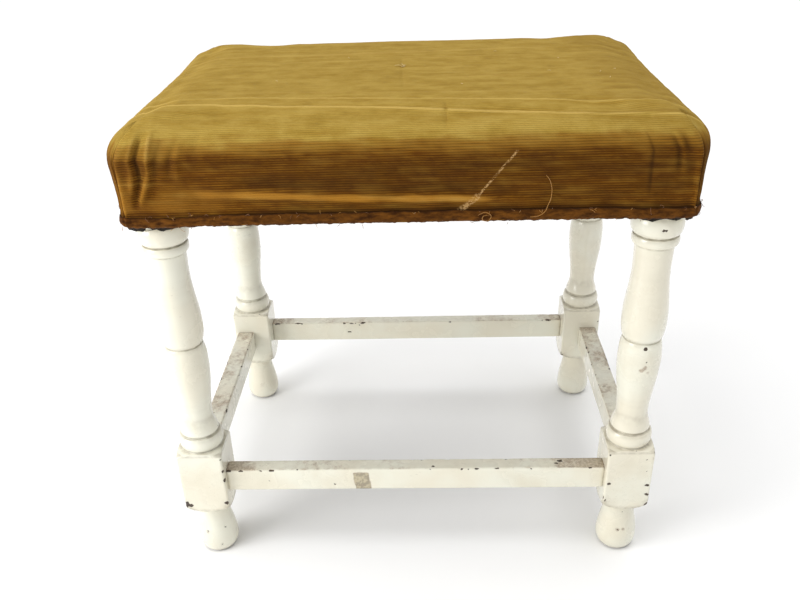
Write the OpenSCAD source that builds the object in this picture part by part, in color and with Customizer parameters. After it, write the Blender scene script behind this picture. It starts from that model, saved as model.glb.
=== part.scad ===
// Piano bench: four turned legs joined by stretchers and seat rails, with a padded, cloth-covered seat.
// Millimetres. The origin is on the floor under the middle of the bench; +Z is up and the front faces -Y.

/* [Overall] */
// Distance between the leg centres across the bench
leg_span_w = 440; // [380:5:540]
// Distance between the leg centres from front to back
leg_span_d = 298; // [250:2:360]
// Height of the wooden frame: the tops of the legs and seat rails
frame_h = 442; // [425:1:540]

/* [Leg stock and foot] */
// Side of the square stock that each leg is turned from
leg_sq = 47; // [44:1:52]
// Radius of the eased edges on the leg's square blocks
leg_edge = 1.5; // [0.8:0.1:3]
// Height of the lower block's underside above the floor
foot_h = 63; // [52:0.5:72]
// Largest radius of the turned foot
foot_r = 21; // [18:0.5:22]
// Radius of the flat that touches the floor
foot_flat_r = 13; // [8:0.5:16]
// Height of the rounding at the bottom of the foot
foot_round_h = 14; // [8:1:18]
// Radius of the foot's neck, just under the lower block
foot_neck_r = 15; // [12:0.5:17]
// Height of the lower square block, where the stretchers join
base_block_h = 77.5; // [72:0.5:92]
// How far the turned cut climbs the corners under a block
block_under_h = 13; // [6:1:15]
// How far the turned shoulder drops at the corners over the lower block
block_shoulder_h = 9; // [4:1:11]

/* [Leg turnings] */
// Radius of the edges of the beads, rings and shoulders
bead_edge_r = 19.5; // [18:0.1:20]
// Height of the bead over the lower block
base_bead_h = 15.5; // [10:0.5:18]
// Largest radius of that bead
base_bead_r = 22.7; // [20.5:0.1:23.2]
// Width of the narrow grooves between turnings
groove_w = 1.5; // [1:0.1:3]
// Radius at the bottom of the narrow grooves
groove_r = 17.6; // [15:0.1:18.5]
// Height of the lower vase, from bead to middle groove
lower_vase_h = 103; // [86:0.5:110]
// Height of its flared foot, up to the waist
lower_flare_h = 19; // [14:1:30]
// Height of its rounded lip under the middle groove
lower_lip_h = 24; // [14:1:28]
// Radius of the waist of the lower vase
lower_waist_r = 15.6; // [13:0.1:17]
// Radius of the belly of the lower vase
lower_belly_r = 20.6; // [19:0.1:22]
// Height of the rounded lip of the upper vase, over the middle groove
upper_lip_h = 21; // [14:1:26]
// Height of the straight stem under the ring
upper_stem_h = 25; // [15:1:35]
// Radius of the belly of the upper vase
upper_belly_r = 21; // [19:0.1:22]
// Radius of the stem of the upper vase
upper_stem_r = 17.1; // [14:0.1:18]
// Height of the ring under the collar
ring_h = 8.5; // [6:0.5:12]
// Largest radius of that ring
ring_r = 21.2; // [19.5:0.1:22.5]
// Height of the collar under the top block
collar_h = 19.5; // [14:0.5:22]
// Largest radius of the collar
collar_r = 23.3; // [21:0.1:23.3]
// Radius of the old nail hole in one leg
nail_hole_r = 1.3; // [0.8:0.1:2]
// Depth of the old nail hole
nail_hole_deep = 6; // [3:1:10]

/* [Stretchers] */
// Height of the tops of the stretchers above the floor
stretcher_top = 113; // [106:1:120]
// Height of a stretcher's section
stretcher_h = 27; // [22:1:32]
// Thickness of the front and back stretchers
long_stretcher_t = 17; // [14:1:20]
// Thickness of the side stretchers
side_stretcher_t = 22; // [16:1:24]
// How far the front and back stretchers sit outside the leg centres
long_stretcher_out = 6.5; // [3:0.5:7.5]
// How far the side stretchers sit outside the leg centres
side_stretcher_out = 8.5; // [4:0.5:9.5]
// Radius of the eased edges of the stretchers
stretcher_edge = 2; // [1:0.5:4]

/* [Seat rails] */
// Height of the seat rails
rail_h = 48; // [44:1:60]
// Thickness of the seat rails
rail_t = 20; // [17:1:22]
// Height of the leg's top block, into which the rails join
top_block_h = 54; // [50:1:66]

/* [Joints] */
// Thickness of every tenon
tenon_t = 8; // [6:0.5:10]
// Length of the seat rails' tenons
rail_tenon_l = 18; // [12:1:20]
// Length of the stretchers' tenons
stretcher_tenon_l = 16; // [10:1:18]
// Shoulder above and below each tenon
tenon_shoulder = 4; // [3:0.5:6]
// Gap between a tenon and each cheek of its mortise
joint_gap = 0.1; // [0.05:0.05:0.3]
// Gap left at the bottom of a mortise
mortise_end_gap = 1; // [0.5:0.5:3]

/* [Corner blocks] */
// Thickness of a corner block, in from the leg's inner corner
corner_block_t = 24; // [20:1:30]
// How far a corner block reaches out past the leg's inner corner
corner_block_out = 8; // [5:1:10]
// Height of a corner block
corner_block_h = 32; // [24:1:36]
// Distance from the rails' tops down to the corner blocks
corner_block_down = 8; // [6:1:12]

/* [Screws and tacks] */
// Shank radius of the screws
screw_r = 2; // [1.5:0.1:2.5]
// Head radius of the screws
screw_head_r = 4; // [3.5:0.1:4.5]
// Height of the screws' countersunk heads
screw_head_h = 2.6; // [2:0.1:3.5]
// How far the corner screws reach into a rail
corner_screw_bite = 14; // [8:1:16]
// Wood left under the head of a corner screw
corner_screw_seat = 17; // [12:1:20]
// Play round a screw head in its pocket
pocket_gap = 0.5; // [0.3:0.1:1]
// Length of the seat board's screws
board_screw_l = 30; // [20:1:38]
// Largest distance between neighbouring board screws
board_screw_pitch = 150; // [100:10:200]
// Radius of the tack heads
tack_head_r = 3.5; // [2.5:0.1:4]
// Thickness of the tack heads
tack_head_t = 0.8; // [0.5:0.1:1.2]
// Radius of the tack shanks
tack_r = 0.8; // [0.5:0.1:1]
// Depth to which the tacks are driven
tack_l = 9; // [6:1:12]
// Largest distance between neighbouring tacks
tack_pitch = 62; // [40:2:90]

/* [Seat and upholstery] */
// Thickness of the seat board
board_t = 9; // [6:1:12]
// Thickness of the foam pad
foam_t = 21; // [18:1:40]
// Radius of the foam's rounded top edges
foam_edge_r = 16; // [8:1:17]
// Thickness of the wadding over the foam and down the rails
wadding_t = 5; // [4:0.5:8]
// Radius of the wadding's upright corners
wadding_corner_r = 13; // [6:1:16]
// Thickness of the cover cloth
cover_t = 1.3; // [1:0.1:2]
// Width of the cover turned in under the rails
turn_under = 9; // [7.5:0.5:9.5]
// Height of the raw-edged strip round the bottom of the cover
hem_h = 12; // [8:1:16]
// Thickness of that strip
hem_t = 0.8; // [0.6:0.1:1.5]
// Thickness of the black lining under the seat
lining_t = 0.6; // [0.4:0.1:1]
// Gap between the lining and the turned-in cover
lining_gap = 0.5; // [0.3:0.1:1]

/* [Hidden] */
// Segments in a quarter of an eased edge, of a soft edge, and of a turned curve
edge_steps = 3;
soft_steps = 6;
turn_steps = 12;
// Facets asked of a round that is rebuilt as a true curve
round_fn = 96;
small_fn = 32;
// Amount that a cutting solid runs past the face it opens
overcut = 1;

half_w = leg_span_w / 2;
half_d = leg_span_d / 2;
half_sq = leg_sq / 2;
// Outside of the wooden frame, flush with the legs' outer faces
frame_w = leg_span_w + leg_sq;
frame_d = leg_span_d + leg_sq;
// Radius outside the corners of the square stock, where the lathe cuts nothing
clear_r = half_sq * sqrt(2) + 1;

// Heights of the leg's sections, from the floor up
block_z0 = foot_h;
block_z1 = block_z0 + base_block_h;
base_bead_z1 = block_z1 + base_bead_h;
lower_vase_z0 = base_bead_z1 + groove_w;
lower_waist_z = lower_vase_z0 + lower_flare_h;
lower_vase_z1 = lower_vase_z0 + lower_vase_h;
upper_vase_z0 = lower_vase_z1 + groove_w;
top_block_z0 = frame_h - top_block_h;
collar_z0 = top_block_z0 - collar_h;
ring_z1 = collar_z0 - groove_w;
ring_z0 = ring_z1 - ring_h;

// Stretchers and rails
stretcher_z0 = stretcher_top - stretcher_h;
rail_z0 = frame_h - rail_h;
rail_out = half_sq - rail_t / 2;
corner_block_z0 = frame_h - corner_block_down - corner_block_h;

// Layers of the seat
board_z1 = frame_h + board_t;
foam_z1 = board_z1 + foam_t;
wadding_z1 = foam_z1 + wadding_t;
cover_z1 = wadding_z1 + cover_t;
cover_z0 = rail_z0 - cover_t;
wadding_w = frame_w + 2 * wadding_t;
wadding_d = frame_d + 2 * wadding_t;
wadding_edge_r = foam_edge_r + wadding_t;
// The corner can't be rounder than the wadding over the leg's corner allows
wadding_round = min(wadding_corner_r, 3 * wadding_t);
cover_w = wadding_w + 2 * cover_t;
cover_d = wadding_d + 2 * cover_t;
cover_edge_r = wadding_edge_r + cover_t;
cover_round = wadding_round + cover_t;
// The lining reaches the turned-in cover, less a gap
lining_in = turn_under + lining_gap;
// Lines on which the tacks stand, in from the frame's outer faces
cover_tack_in = turn_under / 2;
lining_tack_in = (lining_in + rail_t) / 2;

paint = "#efe9d6";
bare_wood = "#b8915c";
plywood = "#cfae78";
steel = "#8f8f8c";
foam_colour = "#e8d9a0";
wadding_colour = "#eeece4";
cloth = "#9c7b2c";
cloth_edge = "#6e4a1c";
black_cloth = "#26231f";

// ---- outlines ----

function arc_points(cx, cy, r, from, to, steps) =
    [for (i = [0:steps]) let (a = from + (to - from) * i / steps) [cx + r * cos(a), cy + r * sin(a)]];

// A rectangle about the origin with eased corners
function eased_rect(w, h, r, steps) = concat(
    arc_points(w / 2 - r, h / 2 - r, r, 0, 90, steps),
    arc_points(r - w / 2, h / 2 - r, r, 90, 180, steps),
    arc_points(r - w / 2, r - h / 2, r, 180, 270, steps),
    arc_points(w / 2 - r, r - h / 2, r, 270, 360, steps));

// A section with square bottom corners at low and round top corners at high
function domed_rect(w, low, high, r) = concat(
    [[-w / 2, low], [w / 2, low]],
    arc_points(w / 2 - r, high - r, r, 0, 90, soft_steps),
    arc_points(r - w / 2, high - r, r, 90, 180, soft_steps));

// Turned curves as [radius, height] points, each starting after the point before it.
// An S-shaped sweep, level at both ends in radius
function sweep(r0, z0, r1, z1) =
    [for (i = [1:turn_steps]) let (t = i / turn_steps)
        [r0 + (r1 - r0) * (1 - cos(180 * t)) / 2, z0 + (z1 - z0) * t]];

// A half-round bead that swells from r_edge to r_mid and back
function bead(r_edge, r_mid, z0, z1) =
    [for (i = [0:turn_steps]) let (a = 180 * i / turn_steps)
        [r_edge + (r_mid - r_edge) * sin(a), (z0 + z1) / 2 - (z1 - z0) / 2 * cos(a)]];

// A quarter-round that leaves its lower end level and rises
function rise_out(r0, r1, z0, z1) =
    [for (i = [0:turn_steps]) let (a = 90 * i / turn_steps)
        [r0 + (r1 - r0) * sin(a), z0 + (z1 - z0) * (1 - cos(a))]];

// A quarter-round that rises and closes level at its upper end
function close_in(r0, r1, z0, z1) =
    [for (i = [0:turn_steps]) let (a = 90 * i / turn_steps)
        [r1 + (r0 - r1) * cos(a), z0 + (z1 - z0) * sin(a)]];

// The whole leg, from the floor to the top of the frame
leg_profile = concat(
    [[0, 0]],
    rise_out(foot_flat_r, foot_r, 0, foot_round_h),
    sweep(foot_r, foot_round_h, foot_neck_r, foot_h),
    rise_out(foot_neck_r + groove_w, clear_r, block_z0, block_z0 + block_under_h),
    close_in(clear_r, bead_edge_r, block_z1 - block_shoulder_h, block_z1),
    bead(bead_edge_r, base_bead_r, block_z1, base_bead_z1),
    [[groove_r, base_bead_z1], [groove_r, lower_vase_z0]],
    sweep(bead_edge_r, lower_vase_z0, lower_waist_r, lower_waist_z),
    sweep(lower_waist_r, lower_waist_z, lower_belly_r, lower_vase_z1 - lower_lip_h),
    close_in(lower_belly_r, groove_r, lower_vase_z1 - lower_lip_h, lower_vase_z1),
    [[groove_r - groove_w / 2, lower_vase_z1], [groove_r - groove_w / 2, upper_vase_z0]],
    rise_out(groove_r, upper_belly_r, upper_vase_z0, upper_vase_z0 + upper_lip_h),
    sweep(upper_belly_r, upper_vase_z0 + upper_lip_h, upper_stem_r, ring_z0 - upper_stem_h),
    sweep(upper_stem_r, ring_z0 - upper_stem_h, groove_r, ring_z0),
    bead(bead_edge_r, ring_r, ring_z0, ring_z1),
    [[groove_r, ring_z1], [groove_r, collar_z0]],
    bead(bead_edge_r, collar_r, collar_z0, top_block_z0),
    rise_out(bead_edge_r + groove_w, clear_r, top_block_z0, rail_z0),
    [[clear_r, frame_h], [0, frame_h]]);

// ---- placing ----

module mirror_if(on, direction) {
    if (on) mirror(direction) children();
    else children();
}

// Children drawn for the front left leg, with +X and +Y pointing inwards, moved to one corner
module at_corner(right, back) {
    translate([right ? half_w : -half_w, back ? half_d : -half_d, 0])
        mirror_if(right, [1, 0, 0]) mirror_if(back, [0, 1, 0]) children();
}

module at_all_corners() {
    for (right = [false, true], back = [false, true]) at_corner(right, back) children();
}

// Evenly spaced places from -reach to reach, none further apart than pitch
function spaced(reach, pitch) =
    let (gaps = max(1, ceil(2 * reach / pitch))) [for (i = [0:gaps]) -reach + 2 * reach * i / gaps];

// Places on a rectangle's four sides, between the legs, at a distance in from the frame's outer faces
module along_rails(in, pitch, end_gap) {
    for (side = [-1, 1]) {
        for (x = spaced(half_w - half_sq - end_gap, pitch))
            translate([x, side * (frame_d / 2 - in), 0]) children();
        for (y = spaced(half_d - half_sq - end_gap, pitch))
            translate([side * (frame_w / 2 - in), y, 0]) children();
    }
}

// ---- legs ----

// A mortise that opens on the +X face of a leg, centred out from the leg's centre
module mortise(out, low, high, length) {
    depth = length + mortise_end_gap;
    translate([half_sq - depth, -out - tenon_t / 2 - joint_gap, low - joint_gap])
        cube([depth + overcut, tenon_t + 2 * joint_gap, high - low + 2 * joint_gap]);
}

// Swaps X and Y, so that a cut for the +X face opens on the +Y face
module swap_xy() {
    mirror([1, -1, 0]) children();
}

module leg() {
    rail_low = rail_z0 + tenon_shoulder;
    rail_high = frame_h - tenon_shoulder;
    stretcher_low = stretcher_z0 + tenon_shoulder;
    stretcher_high = stretcher_top - tenon_shoulder;
    difference() {
        intersection() {
            linear_extrude(frame_h) polygon(eased_rect(leg_sq, leg_sq, leg_edge, edge_steps));
            rotate_extrude($fn = round_fn) polygon(leg_profile);
        }
        mortise(rail_out, rail_low, rail_high, rail_tenon_l);
        swap_xy() mortise(rail_out, rail_low, rail_high, rail_tenon_l);
        mortise(long_stretcher_out, stretcher_low, stretcher_high, stretcher_tenon_l);
        swap_xy() mortise(side_stretcher_out, stretcher_low, stretcher_high, stretcher_tenon_l);
    }
}

module nail_hole() {
    z = lower_vase_z1 - lower_lip_h / 2;
    translate([half_w, -half_d - lower_belly_r - overcut, z])
        rotate([-90, 0, 0]) cylinder(r = nail_hole_r, h = nail_hole_deep + overcut, $fn = small_fn);
}

module leg_front_left() {
    color(paint) at_corner(false, false) leg();
}

module leg_front_right() {
    color(paint) difference() {
        at_corner(true, false) leg();
        nail_hole();
    }
}

module leg_back_left() {
    color(paint) at_corner(false, true) leg();
}

module leg_back_right() {
    color(paint) at_corner(true, true) leg();
}

// ---- stretchers and seat rails ----

// A bar along X from shoulder to shoulder, with a tenon on each end
module tenoned_bar(span, thick, low, high, edge, tenon_l) {
    translate([-span / 2, 0, (low + high) / 2]) rotate([90, 0, 90])
        linear_extrude(span) polygon(eased_rect(thick, high - low, edge, edge_steps));
    for (side = [-1, 1])
        translate([side > 0 ? span / 2 : -span / 2 - tenon_l, -tenon_t / 2, low + tenon_shoulder])
            cube([tenon_l, tenon_t, high - low - 2 * tenon_shoulder]);
}

// A bar between two legs across the bench, on one long side
module long_bar(side, out, thick, low, high, edge, tenon_l) {
    translate([0, side * (half_d + out), 0])
        tenoned_bar(leg_span_w - leg_sq, thick, low, high, edge, tenon_l);
}

// A bar between two legs from front to back, on one short side
module side_bar(side, out, thick, low, high, edge, tenon_l) {
    translate([side * (half_w + out), 0, 0]) rotate([0, 0, 90])
        tenoned_bar(leg_span_d - leg_sq, thick, low, high, edge, tenon_l);
}

module long_stretcher(side) {
    color(paint) long_bar(side, long_stretcher_out, long_stretcher_t, stretcher_z0, stretcher_top,
                          stretcher_edge, stretcher_tenon_l);
}

module side_stretcher(side) {
    color(paint) side_bar(side, side_stretcher_out, side_stretcher_t, stretcher_z0, stretcher_top,
                          stretcher_edge, stretcher_tenon_l);
}

module stretcher_front() {
    long_stretcher(-1);
}

module stretcher_back() {
    long_stretcher(1);
}

module stretcher_left() {
    side_stretcher(-1);
}

module stretcher_right() {
    side_stretcher(1);
}

module all_fasteners() {
    corner_screws();
    board_screws();
    cover_tack_set();
    lining_tack_set();
}

module long_rail(side) {
    color(bare_wood) difference() {
        long_bar(side, rail_out, rail_t, rail_z0, frame_h, leg_edge, rail_tenon_l);
        all_fasteners();
    }
}

module side_rail(side) {
    color(bare_wood) difference() {
        side_bar(side, rail_out, rail_t, rail_z0, frame_h, leg_edge, rail_tenon_l);
        all_fasteners();
    }
}

module seat_rail_front() {
    long_rail(-1);
}

module seat_rail_back() {
    long_rail(1);
}

module seat_rail_left() {
    side_rail(-1);
}

module seat_rail_right() {
    side_rail(1);
}

// ---- corner blocks and their screws ----

// Distances from the leg's centre, along the rails, to the block's diagonal faces.
// A diagonal face is where x + y equals its value.
block_inner_sum = leg_sq + corner_block_t * sqrt(2);
block_outer_sum = leg_sq - corner_block_out * sqrt(2);
// Inner face of a rail, measured outwards from the leg's centre
rail_inner = half_sq - rail_t;
// A corner screw stands halfway along the block's contact with the rail
corner_screw_at = (block_inner_sum + block_outer_sum) / 2 + rail_inner;

module corner_block() {
    height = corner_block_h;
    difference() {
        translate([0, 0, corner_block_z0]) linear_extrude(height) polygon([
            [block_outer_sum + rail_inner, -rail_inner],
            [block_inner_sum + rail_inner, -rail_inner],
            [-rail_inner, block_inner_sum + rail_inner],
            [-rail_inner, block_outer_sum + rail_inner]]);
        translate([-half_sq, -half_sq, corner_block_z0 - overcut])
            cube([leg_sq, leg_sq, height + 2 * overcut]);
        corner_screw_pair() corner_screw();
        corner_screw_pair() corner_screw_pocket();
    }
}

// Children drawn at a screw head that faces +Y, put on both ends of a block
module corner_screw_pair() {
    place = [corner_screw_at, corner_screw_seat - rail_inner, corner_block_z0 + corner_block_h / 2];
    translate(place) children();
    swap_xy() translate(place) children();
}

// A countersunk screw along -Y, with the top of its head at the origin
module countersunk_screw(length) {
    rotate([90, 0, 0]) {
        cylinder(r1 = screw_head_r, r2 = screw_r, h = screw_head_h, $fn = small_fn);
        cylinder(r = screw_r, h = length, $fn = small_fn);
    }
}

module corner_screw() {
    countersunk_screw(corner_screw_seat + corner_screw_bite);
}

module corner_screw_pocket() {
    rotate([-90, 0, 0])
        cylinder(r = screw_head_r + pocket_gap, h = corner_block_t * 2, $fn = small_fn);
}

module corner_screws() {
    at_all_corners() corner_screw_pair() corner_screw();
}

module corner_block_front_left() {
    color(bare_wood) at_corner(false, false) corner_block();
}

module corner_block_front_right() {
    color(bare_wood) at_corner(true, false) corner_block();
}

module corner_block_back_left() {
    color(bare_wood) at_corner(false, true) corner_block();
}

module corner_block_back_right() {
    color(bare_wood) at_corner(true, true) corner_block();
}

module corner_block_screws() {
    color(steel) corner_screws();
}

// ---- seat board ----

module board_screws() {
    along_rails(rail_t / 2, board_screw_pitch, rail_tenon_l)
        translate([0, 0, board_z1]) rotate([90, 0, 0]) countersunk_screw(board_screw_l);
}

module seat_board() {
    color(plywood) difference() {
        translate([0, 0, frame_h]) linear_extrude(board_t)
            polygon(eased_rect(frame_w, frame_d, leg_edge, edge_steps));
        board_screws();
    }
}

module seat_board_screws() {
    color(steel) board_screws();
}

// ---- upholstery ----

// A box with upright corners and top edges rounded, open to nothing and flat below
module soft_box(w, d, low, high, edge_r, corner_r) {
    intersection() {
        rotate([90, 0, 0]) linear_extrude(d, center = true) polygon(domed_rect(w, low, high, edge_r));
        rotate([90, 0, 90]) linear_extrude(w, center = true) polygon(domed_rect(d, low, high, edge_r));
        translate([0, 0, low]) linear_extrude(high - low)
            polygon(eased_rect(w, d, corner_r, soft_steps));
    }
}

// Square holes that let the legs' top blocks through a layer under the rails
module leg_notches() {
    at_all_corners() translate([0, 0, top_block_z0])
        linear_extrude(top_block_h) polygon(eased_rect(leg_sq, leg_sq, leg_edge, edge_steps));
}

module foam_pad() {
    color(foam_colour) soft_box(frame_w, frame_d, board_z1, foam_z1, foam_edge_r, leg_edge);
}

module wadding() {
    color(wadding_colour) difference() {
        soft_box(wadding_w, wadding_d, rail_z0, wadding_z1, wadding_edge_r, wadding_round);
        soft_box(frame_w, frame_d, rail_z0 - overcut, foam_z1, foam_edge_r, leg_edge);
    }
}

module seat_cover() {
    inner_w = frame_w - 2 * turn_under;
    inner_d = frame_d - 2 * turn_under;
    color(cloth) difference() {
        soft_box(cover_w, cover_d, cover_z0, cover_z1, cover_edge_r, cover_round);
        soft_box(wadding_w, wadding_d, rail_z0, wadding_z1, wadding_edge_r, wadding_round);
        translate([-inner_w / 2, -inner_d / 2, cover_z0 - overcut]) cube([inner_w, inner_d, rail_h]);
        leg_notches();
        cover_tack_set();
    }
}

module cover_hem_strip() {
    color(cloth_edge) translate([0, 0, cover_z0]) linear_extrude(hem_h) difference() {
        polygon(eased_rect(cover_w + 2 * hem_t, cover_d + 2 * hem_t, cover_round + hem_t, soft_steps));
        polygon(eased_rect(cover_w, cover_d, cover_round, soft_steps));
    }
}

module underside_lining() {
    lining_w = frame_w - 2 * lining_in;
    lining_d = frame_d - 2 * lining_in;
    color(black_cloth) difference() {
        translate([-lining_w / 2, -lining_d / 2, rail_z0 - lining_t]) cube([lining_w, lining_d, lining_t]);
        leg_notches();
        lining_tack_set();
    }
}

// ---- tacks ----

// A tack driven upwards, with the top of its head against the cloth at the origin
module tack() {
    translate([0, 0, -tack_head_t]) cylinder(r = tack_head_r, h = tack_head_t, $fn = small_fn);
    translate([0, 0, -tack_head_t]) cylinder(r = tack_r, h = tack_head_t + tack_l, $fn = small_fn);
}

module cover_tack_set() {
    along_rails(cover_tack_in, tack_pitch, 2 * tack_head_r) translate([0, 0, cover_z0]) tack();
}

module lining_tack_set() {
    along_rails(lining_tack_in, 2 * tack_pitch, 4 * tack_head_r)
        translate([0, 0, rail_z0 - lining_t]) tack();
}

module cover_tacks() {
    color(steel) cover_tack_set();
}

module lining_tacks() {
    color(steel) lining_tack_set();
}

leg_front_left();
leg_front_right();
leg_back_left();
leg_back_right();
stretcher_front();
stretcher_back();
stretcher_left();
stretcher_right();
seat_rail_front();
seat_rail_back();
seat_rail_left();
seat_rail_right();
corner_block_front_left();
corner_block_front_right();
corner_block_back_left();
corner_block_back_right();
corner_block_screws();
seat_board();
seat_board_screws();
foam_pad();
wadding();
seat_cover();
cover_hem_strip();
cover_tacks();
underside_lining();
lining_tacks();
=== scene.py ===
"""Piano bench: the visual model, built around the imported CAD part. Metres, in the CAD's frame."""

import math
import random

import bpy
import numpy as np
from mathutils import Matrix, Vector, noise
from mathutils.bvhtree import BVHTree
from mathutils.kdtree import KDTree


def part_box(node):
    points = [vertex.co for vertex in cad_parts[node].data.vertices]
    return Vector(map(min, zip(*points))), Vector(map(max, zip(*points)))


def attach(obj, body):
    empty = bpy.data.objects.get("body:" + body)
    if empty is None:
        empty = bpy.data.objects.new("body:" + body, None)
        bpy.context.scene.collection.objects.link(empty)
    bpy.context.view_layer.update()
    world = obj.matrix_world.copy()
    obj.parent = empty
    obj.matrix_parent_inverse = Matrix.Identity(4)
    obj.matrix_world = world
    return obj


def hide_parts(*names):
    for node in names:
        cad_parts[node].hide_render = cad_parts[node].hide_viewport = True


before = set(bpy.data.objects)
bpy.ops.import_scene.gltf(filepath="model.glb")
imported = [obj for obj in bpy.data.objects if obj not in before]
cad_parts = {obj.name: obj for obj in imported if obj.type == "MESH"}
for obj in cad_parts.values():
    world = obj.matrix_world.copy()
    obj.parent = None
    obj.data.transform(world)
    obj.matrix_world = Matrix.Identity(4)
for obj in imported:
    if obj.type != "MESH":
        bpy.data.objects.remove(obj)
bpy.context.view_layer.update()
MM = 0.001


def node_box(node):
    low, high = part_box(node)
    return np.array(low), np.array(high)


COVER_LOW, COVER_HIGH = node_box("seat_cover")
_, BOARD_HIGH = node_box("seat_board")
RAIL_LOW, _ = node_box("seat_rail_front")
HEM_LOW, HEM_HIGH = node_box("cover_hem_strip")
LEGS = ["leg_front_left", "leg_front_right", "leg_back_left", "leg_back_right"]
STRETCHERS = ["stretcher_front", "stretcher_back", "stretcher_left", "stretcher_right"]
# how far from the middle of the seat a leg's inner faces stand
LEG_INNER = np.abs(node_box("leg_front_left")[1][:2])

# ---- small helpers ----


def smooth(x, low, high):
    """0 below low, 1 above high, and an eased step between."""
    t = np.clip((np.asarray(x, float) - low) / (high - low), 0, 1)
    return t * t * (3 - 2 * t)


def bump(x, middle, width):
    """1 at the middle, falling smoothly to about a third one width away."""
    return np.exp(-((np.asarray(x, float) - middle) / width) ** 2)


def noise_at(points, scale, seed=0):
    """Smooth noise from -1 to 1 at each point, with features about scale millimetres across."""
    scale = np.broadcast_to(np.asarray(scale, float), (3,)) * MM
    return np.array([noise.noise(p) for p in np.asarray(points, float) / scale + 17.3 * seed])


def rough_noise(points, scale, seed=0, octaves=3):
    total, size, most = 0, 1.0, 0
    for i in range(octaves):
        total = total + size * noise_at(points, np.asarray(scale, float) / 2 ** i, seed + i)
        most += size
        size *= 0.5
    return total / most


def new_object(name, verts, faces, material, attributes=None, flat=False):
    mesh = bpy.data.meshes.new(name)
    mesh.from_pydata([tuple(v) for v in verts], [], faces)
    mesh.polygons.foreach_set("use_smooth", [not flat] * len(mesh.polygons))
    for key, values in (attributes or {}).items():
        layer = mesh.attributes.new(key, "FLOAT", "POINT")
        layer.data.foreach_set("value", np.asarray(values, np.float32))
    if material:
        mesh.materials.append(material)
    mesh.update()
    obj = bpy.data.objects.new(name, mesh)
    bpy.context.scene.collection.objects.link(obj)
    return obj


def ring_faces(rows, columns):
    """Quads between neighbouring rows of points, closed round the columns."""
    faces = []
    for r in range(rows - 1):
        for c in range(columns):
            d = (c + 1) % columns
            faces.append((r * columns + c, r * columns + d, (r + 1) * columns + d, (r + 1) * columns + c))
    return faces


def apply_modifiers(obj):
    """Leaves obj with its final mesh and no modifiers."""
    graph = bpy.context.evaluated_depsgraph_get()
    graph.update()
    mesh = bpy.data.meshes.new_from_object(obj.evaluated_get(graph), depsgraph=graph)
    obj.modifiers.clear()
    obj.data = mesh


def thicken(obj, thickness, offset=-1.0):
    """Gives a sheet its thickness in millimetres, inward or, with offset 1, outward."""
    solid = obj.modifiers.new("thickness", "SOLIDIFY")
    solid.thickness, solid.offset = thickness * MM, offset


def tree_of(points, mesh):
    return BVHTree.FromPolygons(points.tolist(), [tuple(p.vertices) for p in mesh.polygons])


def points_of(mesh):
    out = np.empty(len(mesh.vertices) * 3)
    mesh.vertices.foreach_get("co", out)
    return out.reshape(-1, 3)


def set_points(mesh, points):
    mesh.vertices.foreach_set("co", np.asarray(points, float).ravel())
    mesh.update()


# ---- material helpers ----


class Nodes:
    """Short calls for building one material."""

    def __init__(self, name, roughness=0.5, **shader):
        self.material = bpy.data.materials.new(name)
        self.material.use_nodes = True
        self.tree = self.material.node_tree
        self.shader = self.tree.nodes["Principled BSDF"]
        self.set("Roughness", roughness)
        for key, value in shader.items():
            self.set(key.replace("_", " "), value)

    def set(self, socket, value):
        target = self.shader.inputs[socket]
        if isinstance(value, bpy.types.NodeSocket):
            self.tree.links.new(value, target)
        else:
            target.default_value = value

    def add(self, kind, inputs=None, **settings):
        node = self.tree.nodes.new(kind)
        for key, value in settings.items():
            setattr(node, key, value)
        for key, value in (inputs or {}).items():
            if isinstance(value, bpy.types.NodeSocket):
                self.tree.links.new(value, node.inputs[key])
            elif value is not None:
                node.inputs[key].default_value = value
        return node

    def value(self, name):
        """A number that the mesh holds at each point."""
        return self.add("ShaderNodeAttribute", attribute_name=name).outputs["Fac"]

    def place(self, scale=(1, 1, 1)):
        """The point's own place in metres, times scale."""
        where = self.add("ShaderNodeTexCoord").outputs["Object"]
        return self.add("ShaderNodeMapping", {"Vector": where, "Scale": scale}).outputs["Vector"]

    def noise(self, scale, detail=3.0, stretch=(1, 1, 1), rough=0.5, where=None):
        where = where or self.place(stretch)
        node = self.add("ShaderNodeTexNoise", {"Vector": where, "Scale": scale, "Detail": detail,
                                               "Roughness": rough})
        return node.outputs["Fac"]

    def math(self, kind, a, b=None):
        return self.add("ShaderNodeMath", {0: a, 1: b}, operation=kind).outputs[0]

    def times(self, a, b):
        return self.math("MULTIPLY", a, b)

    def plus(self, a, b):
        return self.math("ADD", a, b)

    def minus(self, a, b):
        return self.math("SUBTRACT", a, b)

    def most(self, a, b):
        return self.math("MAXIMUM", a, b)

    def step(self, value, low, high, out_low=0.0, out_high=1.0):
        """An eased step from out_low to out_high as value goes from low to high."""
        node = self.add("ShaderNodeMapRange", {"Value": value, "From Min": low, "From Max": high,
                                               "To Min": out_low, "To Max": out_high},
                        interpolation_type="SMOOTHSTEP")
        return node.outputs["Result"]

    def mix(self, factor, a, b, blend="MIX"):
        node = self.add("ShaderNodeMix", data_type="RGBA", blend_type=blend)
        for socket, value in ((node.inputs[0], factor), (node.inputs[6], a), (node.inputs[7], b)):
            if isinstance(value, bpy.types.NodeSocket):
                self.tree.links.new(value, socket)
            else:
                socket.default_value = value
        return node.outputs[2]

    def bump(self, height, distance, strength=1.0, under=None):
        inputs = {"Height": height, "Distance": distance, "Strength": strength, "Normal": under}
        return self.add("ShaderNodeBump", inputs).outputs["Normal"]

    def combine(self, x, y, z):
        return self.add("ShaderNodeCombineXYZ", {"X": x, "Y": y, "Z": z}).outputs[0]


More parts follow.
